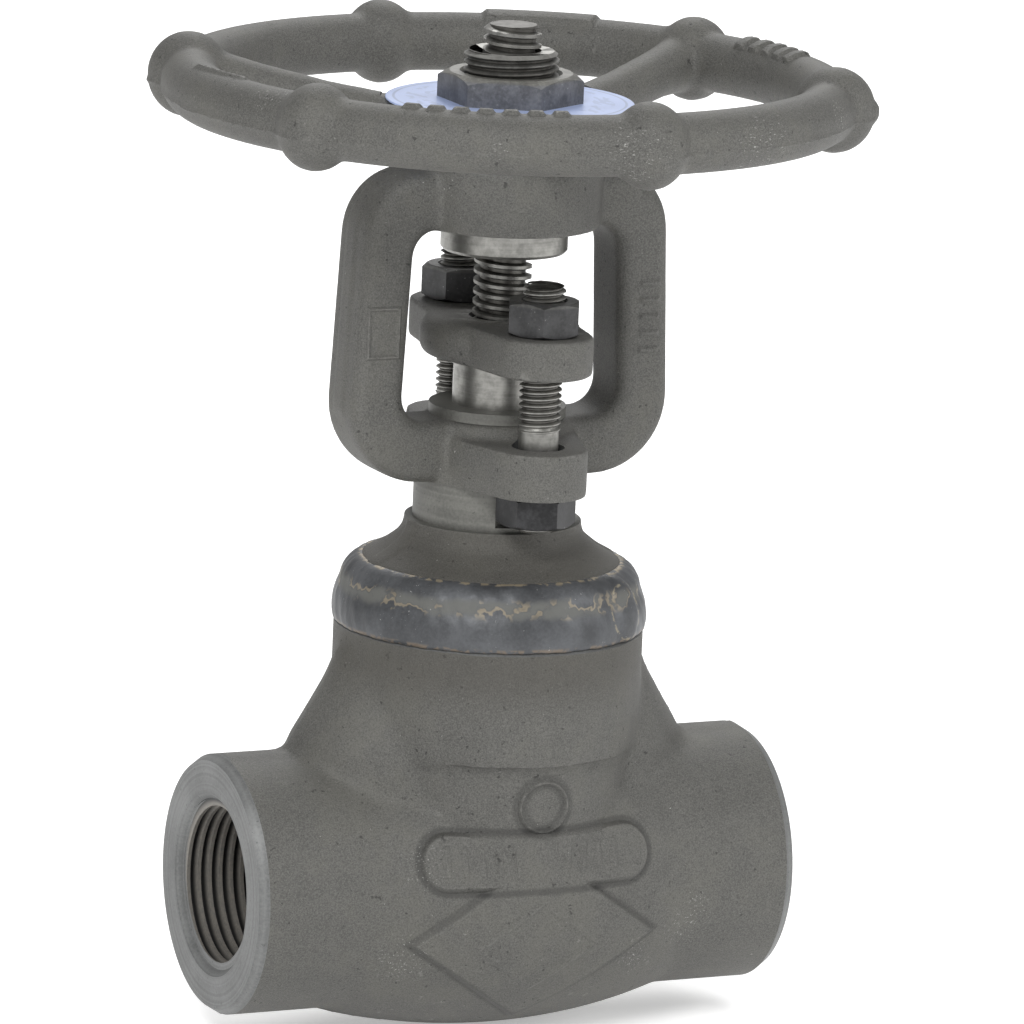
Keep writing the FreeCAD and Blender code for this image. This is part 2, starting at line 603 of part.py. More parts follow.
def handwheel():
    rim = Part.makeTorus(RIM_R, RIM_TUBE_R, V(0, 0, RIM_Z), Z_AXIS)
    hub = cylinder(HUB_R, HUB_Z, HUB_TOP_Z)
    shapes = [rim, hub] + [spoke(30 + 360 / SPOKES * k) for k in range(SPOKES)]
    for k in range(KNOBS):
        knob = Part.makeSphere(KNOB_R, V(RIM_R + KNOB_OUTSET, 0, RIM_Z))
        knob.rotate(V(0, 0, 0), Z_AXIS, 30 + 360 / KNOBS * k)
        shapes.append(knob)
    wheel = shapes[0].multiFuse(shapes[1:])
    drive = hexagon(SLEEVE_HEX + 2 * FACE_GAP, HUB_Z - 1, HUB_TOP_Z + 1)
    headroom = cylinder(PLATE_R + 1, HUB_TOP_Z, HUB_TOP_Z + KNOB_R)
    return wheel.cut(drive).cut(headroom)


def identification_plate():
    return tube(PLATE_R, SLEEVE_THREAD_R + LOOSE_GAP, HUB_TOP_Z, PLATE_TOP_Z)


def handwheel_nut():
    blank = chamfered_hexagon(WHEEL_NUT_HEX, PLATE_TOP_Z, WHEEL_NUT_TOP_Z)
    bore = cylinder(SLEEVE_THREAD_R + RUNNING_GAP, PLATE_TOP_Z - 1, WHEEL_NUT_TOP_Z + 1)
    return blank.cut(bore)


# ---- Output --------------------------------------------------------------------------


def all_nodes():
    nodes = {
        "body": body(),
        "seat_ring": seat_ring(),
        "disc": disc(),
        "stem": stem(),
        "bonnet_yoke": bonnet_yoke(),
        "bonnet_weld": bonnet_weld(),
        "packing_washer": packing_washer(),
        "gland": gland(),
        "gland_flange": gland_flange(),
        "gland_bolt_front": gland_bolt(-1),
        "gland_bolt_rear": gland_bolt(1),
        "gland_nut_front": gland_nut(-1),
        "gland_nut_rear": gland_nut(1),
        "yoke_sleeve": yoke_sleeve(),
        "handwheel": handwheel(),
        "identification_plate": identification_plate(),
        "handwheel_nut": handwheel_nut()}
    for index in range(PACKING_RINGS):
        nodes[f"packing_ring_{index + 1}"] = packing_ring(index)
    return nodes


def main():
    os.makedirs("parts", exist_ok=True)
    for name, shape in all_nodes().items():
        shape.exportStep(f"parts/{name}.step")
        print(f"{name:22s} solids {len(shape.Solids)} valid {shape.isValid()} volume {shape.Volume:9.1f}")


main()
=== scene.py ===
import math

import bpy
from bpy.props import FloatProperty, FloatVectorProperty, IntProperty, PointerProperty
from mathutils import Matrix, Vector


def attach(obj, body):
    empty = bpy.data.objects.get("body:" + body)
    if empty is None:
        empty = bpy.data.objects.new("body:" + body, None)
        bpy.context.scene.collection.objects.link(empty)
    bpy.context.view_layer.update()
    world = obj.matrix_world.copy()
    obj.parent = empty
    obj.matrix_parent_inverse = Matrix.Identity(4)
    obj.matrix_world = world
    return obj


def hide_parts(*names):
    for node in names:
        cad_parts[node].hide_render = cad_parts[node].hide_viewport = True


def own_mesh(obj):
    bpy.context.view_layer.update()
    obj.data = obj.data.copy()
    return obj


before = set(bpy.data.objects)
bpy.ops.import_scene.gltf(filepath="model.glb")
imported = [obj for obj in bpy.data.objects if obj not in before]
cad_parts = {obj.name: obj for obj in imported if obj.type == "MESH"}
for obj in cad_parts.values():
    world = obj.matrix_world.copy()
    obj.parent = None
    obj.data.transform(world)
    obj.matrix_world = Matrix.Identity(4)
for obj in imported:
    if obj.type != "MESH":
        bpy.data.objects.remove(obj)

bl_info = {
    "name": "Forged globe valve",
    "version": (1, 0, 0),
    "blender": (4, 5, 0),
    "location": "3D View > Sidebar > Valve",
    "description": "Models and finishes the pieces of a forged globe valve",
    "category": "Object",
}

MM = 0.001

# Heights in millimetres, measured up from the lowest point of the body.
RUN = 30.2
NECK_STEP = 56.7
NECK_TOP = 82.2
RING_TOP = 98.6
LUG_BASE = 107.0
WINDOW_SILL = 118.7
ARCH = 155.2
BOSS_TOP = 167.4
GLAND_LOW = 129.7
GLAND_TOP = 137.4
NUT_BASE = 137.5
HUB_BASE = 167.7
HUB_TOP = 178.3
PLATE_TOP = 178.7
WHEEL_NUT_TOP = 184.1
SLEEVE_TOP = 188.3
STEM_TOP = 193.1
RIM = 180.2
PACKING_BASE = 90.2
WELD_FOOT = 79.0
WELD_CROWN = 93.0
NUT_TOP = 144.0
BOLT_TOP = 147.0

# Other sizes in millimetres.
PORT_END = 55.5
BOLT_OFFSET = 19.0
STEM_RADIUS = 5.5
STEM_BORE = 5.56
RIM_RADIUS = 60.0
BOLT_HOLE = 4.3
BOLT_HEXAGON = 13.0
PACKING_RADIUS = 8.69
PACKING_STEP = 4

# Raised marks on the front of the body, in millimetres from the axis of the ports.
BAR_HALF = 18.2
BAR_RISE = 8
DIAMOND_HALF = 25
DIAMOND_TALL = 17.2
DIAMOND_DROP = 7.5
DIAMOND_SCALE = 14.2
MARK_RING_RISE = 18.3
MARK_RING_RADIUS = 4.75

# The camera: place in metres, angles in degrees, lens in millimetres.
CAMERA_PLACE = (-0.6951, -1.4962, 0.4457)
CAMERA_TURN = -25.045
CAMERA_LIFT = 11.849
CAMERA_ROLL = 2.422
CAMERA_LENS = 312.2

# Where the last weld pass overlaps its start, and the tan of its scale.
WELD_LAP = (18.2, -23.3, 84.3)
TAN = (0.30, 0.25, 0.17)


# Settings ----------------------------------------------------------------------------


def length_property(name, description, default, **limits):
    """Length whose default is given in millimetres."""
    return FloatProperty(name=name, description=description, default=default * MM,
                         subtype="DISTANCE", unit="LENGTH", **limits)


class ForgingSettings(bpy.types.PropertyGroup):
    """How the forged surfaces are shaped"""
    grid: length_property("Surface grid", "Size of the mesh faces on forged pieces", 0.8, min=0.4 * MM)
    rounding: IntProperty(name="Rounding", description="Smoothing passes over a forging",
                          default=9, min=0, max=40)
    seam: length_property("Die seam height", "How far the trimmed die seam stands out", 0.35)
    mark: length_property("Mark height", "How far the raised marks stand out", 1.4)


class ThreadSettings(bpy.types.PropertyGroup):
    """Pitches of the cut threads"""
    port: length_property("Port pitch", "Pitch of the pipe thread in the ports", 2.209)
    stem: length_property("Stem pitch", "Pitch of the trapezoidal stem thread", 2.0)
    bolt: length_property("Bolt pitch", "Pitch of the gland bolts", 1.25)
    sleeve: length_property("Sleeve pitch", "Pitch of the thread under the wheel nut", 1.5)


def colour_property(name, description, red, green, blue):
    return FloatVectorProperty(name=name, description=description, default=(red, green, blue),
                               size=3, min=0.0, max=1.0, subtype="COLOR")


class ColourSettings(bpy.types.PropertyGroup):
    """Base colours of the finishes"""
    forging: colour_property("Forging", "Phosphated forged steel", 0.092, 0.0905, 0.0835)
    machined: colour_property("Machined", "Phosphated machined steel", 0.155, 0.158, 0.156)
    weld: colour_property("Weld", "Heat-tinted weld metal", 0.068, 0.071, 0.076)
    bright: colour_property("Bright steel", "Bare turned steel", 0.33, 0.325, 0.305)
    black: colour_property("Bolting", "Blackened bolting", 0.020, 0.020, 0.021)
    plate: colour_property("Plate", "Painted identification plate", 0.36, 0.44, 0.68)


class StageSettings(bpy.types.PropertyGroup):
    """Floor and light"""
    floor: colour_property("Floor", "Plain pale floor", 0.93, 0.93, 0.93)
    key: FloatProperty(name="Key light", description="Power of the large soft light",
                       default=30.0, min=0.0, subtype="POWER", unit="POWER")
    sky: FloatProperty(name="Surroundings", description="Brightness of the white surroundings",
                       default=0.48, min=0.0)


# Working on meshes -------------------------------------------------------------------


def deselect_all():
    if bpy.context.object and bpy.context.object.mode != "OBJECT":
        bpy.ops.object.mode_set(mode="OBJECT")
    bpy.ops.object.select_all(action="DESELECT")


def make_active(piece):
    deselect_all()
    piece.select_set(True)
    bpy.context.view_layer.objects.active = piece
    return piece


def settle(piece, at=(0, 0, 0), turn=None):
    """Turns a piece about the origin, moves it by millimetres and fixes both in its mesh."""
    make_active(piece)
    if turn:
        piece.rotation_euler = turn
    piece.location = Vector(piece.location) + Vector(at) * MM
    bpy.ops.object.transform_apply(location=True, rotation=True, scale=True)
    return piece


def apply_modifier(piece, kind, **settings):
    make_active(piece)
    bpy.ops.object.modifier_add(type=kind)
    modifier = piece.modifiers[-1]
    for name, value in settings.items():
        setattr(modifier, name, value)
    bpy.ops.object.modifier_apply(modifier=modifier.name)
    return piece


def join(pieces):
    make_active(pieces[0])
    for piece in pieces[1:]:
        piece.select_set(True)
    bpy.ops.object.join()
    return pieces[0]


def coat(piece, material):
    piece.data.materials.clear()
    piece.data.materials.append(material)
    return piece


def carve(piece, *tools, how="DIFFERENCE"):
    """Cuts with each tool in turn. The cut faces take the tool's finish."""
    for tool in tools:
        apply_modifier(piece, "BOOLEAN", operation=how, object=tool, solver="EXACT",
                       material_mode="TRANSFER")
        bpy.data.objects.remove(tool, do_unlink=True)
    return piece


def extrude_to(rise, widths, level):
    """Pulls the selected end up by rise, then widens or narrows it. All in metres."""
    bpy.ops.mesh.extrude_region_move(TRANSFORM_OT_translate={"value": (0, 0, rise)})
    bpy.ops.transform.resize(value=(*widths, 1), center_override=(0, 0, level))


def close_shape():
    """Points every face outward and leaves the mesh editor."""
    bpy.ops.mesh.select_all(action="SELECT")
    bpy.ops.mesh.normals_make_consistent(inside=False)
    bpy.ops.object.mode_set(mode="OBJECT")


LAID = {"Z": None, "X": (0, math.pi / 2, 0), "-X": (0, -math.pi / 2, 0)}


def turned(name, outline, sides=96, ring=False, along="Z", at=(0, 0, 0), material=None):
    """Turns an outline of (radius, height) pairs about the upright axis, then lays it down."""
    deselect_all()
    radius, height = outline[0]
    bpy.ops.mesh.primitive_circle_add(vertices=sides, radius=radius * MM, fill_type="NOTHING",
                                      location=(0, 0, height * MM))
    piece = settle(bpy.context.object)
    piece.name = name
    bpy.ops.object.mode_set(mode="EDIT")
    bpy.ops.mesh.select_all(action="SELECT")
    if not ring:
        bpy.ops.mesh.edge_face_add()
    for next_radius, next_height in outline[1:] + (outline[:1] if ring else []):
        scale = next_radius / radius
        extrude_to((next_height - height) * MM, (scale, scale), next_height * MM)
        radius, height = next_radius, next_height
    bpy.ops.mesh.select_all(action="SELECT")
    if ring:
        bpy.ops.mesh.remove_doubles(threshold=0.001 * MM)
    close_shape()
    settle(piece, at, LAID[along])
    return coat(piece, material) if material else piece


def lofted(name, sections, sides=72):
    """Stacks ellipses given as (half length, half width, height)."""
    deselect_all()
    length, width, height = sections[0]
    bpy.ops.mesh.primitive_circle_add(vertices=sides, radius=MM, fill_type="NGON",
                                      location=(0, 0, height * MM))
    piece = bpy.context.object
    piece.scale = (length, width, 1)
    piece.name = name
    settle(piece)
    bpy.ops.object.mode_set(mode="EDIT")
    bpy.ops.mesh.select_all(action="SELECT")
    for next_length, next_width, next_height in sections[1:]:
        extrude_to((next_height - height) * MM, (next_length / length, next_width / width),
                   next_height * MM)
        length, width, height = next_length, next_width, next_height
    close_shape()
    return piece


def ball(name, radii, at, sides=48):
    deselect_all()
    bpy.ops.mesh.primitive_uv_sphere_add(segments=sides, ring_count=sides // 2, radius=MM)
    piece = bpy.context.object
    piece.name = name
    piece.scale = radii
    return settle(piece, at)


def block(name, low, high, material=None):
    deselect_all()
    bpy.ops.mesh.primitive_cube_add(size=1)
    piece = bpy.context.object
    piece.name = name
    piece.scale = [(b - a) * MM for a, b in zip(low, high)]
    settle(piece, [(a + b) / 2 for a, b in zip(low, high)])
    return coat(piece, material) if material else piece


def rod(name, start, end, start_radius, end_radius, material=None, sides=48):
    """Straight bar, cylinder or taper between two points."""
    start, end = Vector(start), Vector(end)
    piece = turned(name, [(start_radius, 0), (end_radius, (end - start).length)], sides)
    turn = Vector((0, 0, 1)).rotation_difference(end - start).to_euler()
    settle(piece, start, turn)
    return coat(piece, material) if material else piece


def bevel_edges(piece, rule, width, segments):
    """Rounds the edges whose two ends both pass the rule, given in millimetres."""
    mesh = piece.data
    for face in mesh.polygons:
        face.select = False
    for vertex in mesh.vertices:
        vertex.select = False
    for edge in mesh.edges:
        ends = [mesh.vertices[k].co / MM for k in edge.vertices]
        edge.select = rule(*ends)
    bpy.context.tool_settings.mesh_select_mode = (False, True, False)
    make_active(piece)
    bpy.ops.object.mode_set(mode="EDIT")
    bpy.ops.mesh.bevel(offset=width * MM, segments=segments, profile=0.5, affect="EDGES")
    bpy.ops.object.mode_set(mode="OBJECT")
    bpy.context.tool_settings.mesh_select_mode = (True, False, False)
    return piece


def draw_in(piece, level, share):
    """Narrows what stands above a level, along the run."""
    make_active(piece)
    bpy.ops.object.mode_set(mode="EDIT")
    bpy.ops.mesh.select_all(action="DESELECT")
    bpy.ops.object.mode_set(mode="OBJECT")
    for vertex in piece.data.vertices:
        vertex.select = vertex.co.z > level * MM
    bpy.ops.object.mode_set(mode="EDIT")
    bpy.ops.transform.resize(value=(share, 1, 1), center_override=(0, 0, level * MM))
    bpy.ops.object.mode_set(mode="OBJECT")


def hull(name, discs, low, high):
    """Plate wrapped round upright discs given as (radius, y)."""
    piece = join([turned(name, [(radius, low), (radius, high)], 72, at=(0, y, 0))
                  for radius, y in discs])
    bpy.ops.object.mode_set(mode="EDIT")
    bpy.ops.mesh.select_all(action="SELECT")
    bpy.ops.mesh.convex_hull()
    bpy.ops.object.mode_set(mode="OBJECT")
    return piece


def forge(piece, grid, rounding):
    """Turns overlapping solids into one skin with soft corners."""
    apply_modifier(piece, "REMESH", mode="VOXEL", voxel_size=grid * MM, adaptivity=0.0)
    return apply_modifier(piece, "SMOOTH", factor=0.5, iterations=rounding)


def refine(piece, region, cuts):
    """Divides the faces whose centres lie in a region, so that it can carry fine marks."""
    mesh = piece.data
    bpy.context.tool_settings.mesh_select_mode = (False, False, True)
    for face in mesh.polygons:
        face.select = region(*(face.center / MM))
    make_active(piece)
    bpy.ops.object.mode_set(mode="EDIT")
    bpy.ops.mesh.subdivide(number_cuts=cuts)
    bpy.ops.object.mode_set(mode="OBJECT")
    bpy.context.tool_settings.mesh_select_mode = (True, False, False)


def raise_skin(piece, height, rule):
    """Lifts the skin by height in metres times the rule's value at each point in millimetres."""
    group = piece.vertex_groups.new(name="raised")
    for vertex in piece.data.vertices:
        weight = rule(*(vertex.co / MM))
        if weight > 0:
            group.add([vertex.index], min(weight, 1.0), "REPLACE")
    apply_modifier(piece, "DISPLACE", vertex_group=group.name, strength=height, mid_level=0.0,
                   direction="NORMAL")
    piece.vertex_groups.remove(piece.vertex_groups["raised"])
    return piece


def ramp(distance, soft):
    """One inside an edge, nought outside it, with a slope of the given width."""
    return max(0.0, min(1.0, 0.5 - distance / soft))


def threaded_rod(name, major, minor, pitch, low, high, left_hand=False, crest=0.25, root=0.25,
                 steps=56, along="Z", at=(0, 0, 0), material=None):
    """Solid rod with a real helical thread, in millimetres. Crest and root are shares of the pitch."""
    flank = (1 - crest - root) / 2 * pitch
    half_root = root * pitch / 2
    start = low - pitch
    profile = [(minor, 0), (minor, half_root), (major, half_root + flank),
               (major, pitch - half_root - flank), (minor, pitch - half_root), (minor, pitch)]
    mesh = bpy.data.meshes.new(name)
    mesh.from_pydata([(radius * MM, 0, (start + rise) * MM) for radius, rise in profile],
                     [(k, k + 1) for k in range(len(profile) - 1)], [])
    piece = bpy.data.objects.new(name, mesh)
    bpy.context.collection.objects.link(piece)
    turns = math.ceil((high - start) / pitch) + 1
    angle = -2 * math.pi if left_hand else 2 * math.pi
    apply_modifier(piece, "SCREW", axis="Z", angle=angle, screw_offset=pitch * MM, iterations=turns,
                   steps=steps, render_steps=steps, use_merge_vertices=False)
    bpy.ops.object.mode_set(mode="EDIT")
    bpy.ops.mesh.select_all(action="SELECT")
    bpy.ops.mesh.remove_doubles(threshold=0.001 * MM)
    bpy.ops.mesh.bisect(plane_co=(0, 0, low * MM), plane_no=(0, 0, 1), clear_inner=True,
                        use_fill=True)
    bpy.ops.mesh.select_all(action="SELECT")
    bpy.ops.mesh.bisect(plane_co=(0, 0, high * MM), plane_no=(0, 0, 1), clear_outer=True,
                        use_fill=True)
    close_shape()
    settle(piece, at, LAID[along])
    return coat(piece, material) if material else piece


def hexagon(name, across, low, high, corner_on_x=False, both=True, material=None):
    """Hexagon bar whose corners are turned down at its top, and at its foot too unless both is off."""
    corner = across / math.sqrt(3)
    deselect_all()
    bpy.ops.mesh.primitive_cylinder_add(vertices=6, radius=corner * MM, depth=(high - low) * MM)
    piece = bpy.context.object
    piece.name = name
    settle(piece, (0, 0, (low + high) / 2), (0, 0, math.pi / 6 if corner_on_x else 0))
    flat = across / 2 * 0.97
    drop = (corner + 0.2 - flat) * math.tan(math.radians(30))
    foot = [(flat, low), (corner + 0.2, low + drop)] if both else [(corner + 0.2, low)]
    envelope = turned("envelope", foot + [(corner + 0.2, high - drop), (flat, high)], 96)
    if material:
        coat(piece, material)
        coat(envelope, material)
    return carve(piece, envelope, how="INTERSECT")


def hand_over(piece, body, slot, *nodes, angle=32):
    """Shades a finished piece and puts it in place of its CAD nodes."""
    make_active(piece)
    bpy.ops.object.shade_smooth_by_angle(angle=math.radians(angle))
    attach(piece, body)
    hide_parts(*nodes)


# Finishes ----------------------------------------------------------------------------


class Value:
    """A number that changes over a surface."""

    def __init__(self, finish, socket):
        self.finish = finish
        self.socket = socket

    def _with(self, operation, first, second):
        return self.finish.node("ShaderNodeMath", {"operation": operation}, {0: first, 1: second})

    def __add__(self, other):
        return self._with("ADD", self, other)

    def __radd__(self, other):
        return self._with("ADD", other, self)

    def __sub__(self, other):
        return self._with("SUBTRACT", self, other)

    def __rsub__(self, other):
        return self._with("SUBTRACT", other, self)

    def __mul__(self, other):
        return self._with("MULTIPLY", self, other)

    def __rmul__(self, other):
        return self._with("MULTIPLY", other, self)

    def __truediv__(self, other):
        return self._with("DIVIDE", self, other)

    def __rtruediv__(self, other):
        return self._with("DIVIDE", other, self)

    def __abs__(self):
        return self._with("ABSOLUTE", self, 0.0)


class Finish:
    """The nodes of one material."""

    def __init__(self, name, roughness=0.5, metallic=0.0, **constants):
        self.material = bpy.data.materials.new(name)
        self.material.use_nodes = True
        self.tree = self.material.node_tree
        self.shader = self.tree.nodes["Principled BSDF"]
        self.shader.inputs["Roughness"].default_value = roughness
        self.shader.inputs["Metallic"].default_value = metallic
        for label, value in constants.items():
            self.shader.inputs[label.replace("_", " ")].default_value = value
        self.place = self.node("ShaderNodeTexCoord", out="Object")

    def node(self, kind, settings=None, sockets=None, out=0):
        made = self.tree.nodes.new(kind)
        for name, value in (settings or {}).items():
            setattr(made, name, value)
        for name, value in (sockets or {}).items():
            if isinstance(value, Value):
                self.tree.links.new(value.socket, made.inputs[name])
            else:
                made.inputs[name].default_value = value
        return Value(self, made.outputs[out])

    def noise(self, scale, detail=2.0, roughness=0.5, stretch=None):
        """Noise whose scale is in lumps per metre."""
        place = self.place
        if stretch:
            place = self.node("ShaderNodeVectorMath", {"operation": "MULTIPLY"},
                              {0: place, 1: stretch})
        return self.node("ShaderNodeTexNoise", {}, {"Vector": place, "Scale": scale,
                                                    "Detail": detail, "Roughness": roughness})

    def between(self, value, low, high):
        """Nought below low, one above high, smooth between them."""
        return self.node("ShaderNodeMapRange", {"interpolation_type": "SMOOTHSTEP"},
                         {0: value, 1: low, 2: high})

    def patches(self, low, high, *noise):
        """Noise cut to patches: nought where it is below low, one where it is above high."""
        return self.between(self.noise(*noise), low, high)

    def mix(self, share, first, second):
        first, second = [c if isinstance(c, Value) else (*c, 1.0) for c in (first, second)]
        return self.node("ShaderNodeMix", {"data_type": "RGBA"}, {0: share, 6: first, 7: second},
                         out=2)

    def axis(self, letter):
        """Position along one axis, in millimetres."""
        return self.node("ShaderNodeSeparateXYZ", {}, {0: self.place}, out=letter) * (1 / MM)

    def near(self, point, inner, outer):
        """One within inner of a point in millimetres, fading to nought at outer."""
        gap = self.node("ShaderNodeVectorMath", {"operation": "DISTANCE"},
                        {0: self.place, 1: [c * MM for c in point]}, out="Value")
        return 1 - self.between(gap, inner * MM, outer * MM)

    def radius(self):
        """Distance from the stem axis in millimetres."""
        flat = self.node("ShaderNodeVectorMath", {"operation": "MULTIPLY"},
                         {0: self.place, 1: (1, 1, 0)})
        length = self.node("ShaderNodeVectorMath", {"operation": "LENGTH"}, {0: flat}, out="Value")
        return length * (1 / MM)

    def root(self, value):
        return self.node("ShaderNodeMath", {"operation": "SQRT"}, {0: value})

    def port_reach(self):
        """Distance from the axis of the ports, in millimetres."""
        low = self.axis("Y")
        high = self.axis("Z") - RUN
        return self.root(low * low + high * high)

    def edges(self, low=0.515, high=0.56):
        """One on outward edges of a fine mesh."""
        return self.between(self.node("ShaderNodeNewGeometry", out="Pointiness"), low, high)

    def set(self, label, value):
        self.tree.links.new(value.socket, self.shader.inputs[label])

    def bump(self, height, distance, strength=1.0):
        """Height runs from nought to one; distance is its depth in millimetres."""
        self.set("Normal", self.node("ShaderNodeBump", {}, {
            "Strength": strength, "Distance": distance * MM, "Height": height}))

    def complete(self, colour, roughness, *relief):
        """Connects the colour, the roughness and the relief, if any, given as bump takes it."""
        self.set("Base Color", colour)
        self.set("Roughness", roughness)
        if relief:
            self.bump(*relief)
        return self.material


def scaled(colour, factor):
    return tuple(min(1.0, c * factor) for c in colour)


def pad_shadow(finish):
    """Painted shadow: one along the foot of the raised bar, diamond and ring on the front of the body."""
    across = abs(finish.axis("X"))
    rise = finish.axis("Z") - RUN
    beyond = across - BAR_HALF
    beyond = (beyond + abs(beyond)) * 0.5
    level = rise - BAR_RISE
    bar = finish.root(beyond * beyond + level * level) - 5.4
    diamond = (across / DIAMOND_HALF + abs(rise + DIAMOND_DROP) / DIAMOND_TALL - 1) * DIAMOND_SCALE
    high = rise - MARK_RING_RISE
    ring = abs(finish.root(across * across + high * high) - MARK_RING_RADIUS) - 0.5
    lines = 0.0
    for edge, share in ((bar, 1.0), (diamond, 0.8 * finish.between(bar, 0, 0.4)), (ring, 0.7)):
        lines = lines + (1 - finish.between(abs(edge - 0.35), 0.25, 1.0)) * share
    return lines * (1 - finish.between(finish.axis("Y"), -12, -8))


def forged_finish(name, colour, scuffs=(), marked=False, heated=None):
    """Shot-blasted and phosphated forging: fine grain, dark pits, bright flecks, rubbed edges.
    Marked adds painted shadow lines round the raised pads; heated is a level that the weld's heat browned."""
    finish = Finish(name, metallic=0.15)
    grain = finish.noise(3000, 3, 0.62)
    speck = finish.noise(5200, 1)
    cloud = finish.noise(55, 4, 0.6)
    patch = finish.noise(230, 3, 0.6)
    pit = finish.patches(0.69, 0.74, 820, 2, 0.5)
    fleck = finish.patches(0.675, 0.73, 1750, 4, 0.72) * finish.patches(0.46, 0.60, 120, 2)
    shade = finish.between(grain * 0.9 + cloud * 0.2 + patch * 0.14 + speck * 0.6, 0.64, 1.2)
    base = finish.mix(shade, scaled(colour, 0.6), scaled(colour, 1.42))
    olive = finish.between(cloud + patch * 0.5, 0.68, 0.95)
    base = finish.mix(olive * 0.2, base, (colour[0] * 1.12, colour[1] * 1.1, colour[2] * 0.95))
    base = finish.mix(pit * 0.75, base, scaled(colour, 0.30))
    rub = finish.edges() * finish.patches(0.42, 0.62, 420, 3)
    base = finish.mix(rub * 0.45, base, scaled(colour, 2.1))
    if marked:
        # painted shadow along the foot of the raised marks
        base = finish.mix(pad_shadow(finish) * 0.55, base, scaled(colour, 0.3))
    if heated:
        level = abs(finish.axis("Z") - heated)
        brown = (colour[0] * 0.5, colour[1] * 0.46, colour[2] * 0.4)
        base = finish.mix((1 - finish.between(level, 4, 15)) * 0.5, base, brown)
    base = finish.mix(fleck * 0.8, base, (0.52, 0.52, 0.49))
    for point, reach, stretch in scuffs:
        mark = finish.near(point, reach * 0.3, reach)
        streak = finish.patches(0.59, 0.66, 2100, 5, 0.75, stretch)
        base = finish.mix(mark * streak * 0.7, base, (0.50, 0.50, 0.475))
    return finish.complete(base, 0.50 + grain * 0.24 - rub * 0.12,
                           grain * 0.7 + speck * 0.25 + patch * 0.3 - pit * 0.6, 0.2, 0.85)


def machined_finish(name, colour, axis, groove=1.0):
    """Turned face with faint tool rings, darkened by phosphate. The rings go round the stem
    for axis Z, and round the ports for any other."""
    finish = Finish(name, metallic=0.35)
    grain = finish.noise(1900, 3, 0.6)
    cloud = finish.noise(90, 3)
    if axis == "Z":
        rings = finish.noise(1100, 2, 0.5, (0.02, 0.02, 1))
    else:
        rings = finish.node("ShaderNodeTexNoise", {"noise_dimensions": "1D"},
                            {"W": finish.port_reach(), "Scale": 1.6, "Detail": 3.0})
    shade = finish.between(grain * 0.6 + cloud * 0.6 + rings * 0.5, 0.5, 1.2)
    base = finish.mix(shade, scaled(colour, 0.62), scaled(colour, 1.28))
    base = finish.mix(finish.patches(0.67, 0.72, 1300, 2) * 0.6, base, scaled(colour, 0.4))
    return finish.complete(base, 0.42 + grain * 0.2, grain * 0.35 + rings * 0.5 * groove, 0.06, 0.6)


def cut_thread_finish(colour):
    """Thread cut in the port: rubbed brown-grey crests and dark roots."""
    finish = Finish("port_thread", metallic=0.4)
    root = finish.between(finish.port_reach(), 15.1, 16.2)
    grain = finish.noise(1500, 3, 0.6)
    crest = finish.mix(grain, scaled(colour, 0.75), (0.27, 0.245, 0.21))
    base = finish.mix(root, crest, (0.022, 0.022, 0.022))
    return finish.complete(base, 0.38 + grain * 0.25, grain, 0.03, 0.6)


def weld_finish(colour):
    """Two weld passes: bluish scale, grey slag patches with tan rims, tan and rust lines at the toes."""
    finish = Finish("weld_bead", metallic=0.35)
    height = finish.axis("Z")
    wander = (finish.noise(260, 3) - 0.5) * 2.2
    level = height + wander
    grain = finish.noise(1700, 3, 0.6)
    cloud = finish.noise(110, 3)
    base = finish.mix(finish.between(cloud + grain * 0.4, 0.45, 0.95),
                      scaled(colour, 0.68), scaled(colour, 1.35))
    valley = finish.between(level, 84.3, 86.0) * (1 - finish.between(level, 87.2, 88.8))
    blotch = finish.noise(190, 3)
    slag = valley * finish.between(blotch, 0.50, 0.58)
    slag_rim = valley * finish.between(blotch, 0.475, 0.50) * (1 - finish.between(blotch, 0.515, 0.545))
    base = finish.mix(slag * 0.6, base, (0.16, 0.16, 0.145))
    base = finish.mix(slag_rim * 0.55, base, TAN)
    upper = finish.between(height + wander * 0.35, 90.5, 90.8) * finish.patches(0.46, 0.54, 700, 4)
    base = finish.mix(upper * 0.8, base, TAN)
    toe = 1 - finish.between(height + wander * 0.25, 78.9, 79.5)
    toe = toe * finish.patches(0.42, 0.54, 600, 4)
    base = finish.mix(toe * 0.6, base, (0.19, 0.145, 0.10))
    lap = finish.near(WELD_LAP, 5.4, 5.7) * (1 - finish.near(WELD_LAP, 4.9, 5.3))
    base = finish.mix(lap * finish.patches(0.45, 0.55, 800, 3) * 0.6, base, (0.30, 0.26, 0.18))
    spatter = finish.patches(0.66, 0.71, 1500, 4, 0.7) * finish.patches(0.5, 0.6, 150, 2)
    base = finish.mix(spatter * 0.8, base, (0.55, 0.55, 0.54))
    ripple = finish.noise(420, 2, 0.5, (1, 1, 0.45))
    return finish.complete(base, 0.36 + grain * 0.2 + slag * 0.3,
                           ripple * 0.7 + grain * 0.15 + slag * 0.25, 0.35, 0.6)


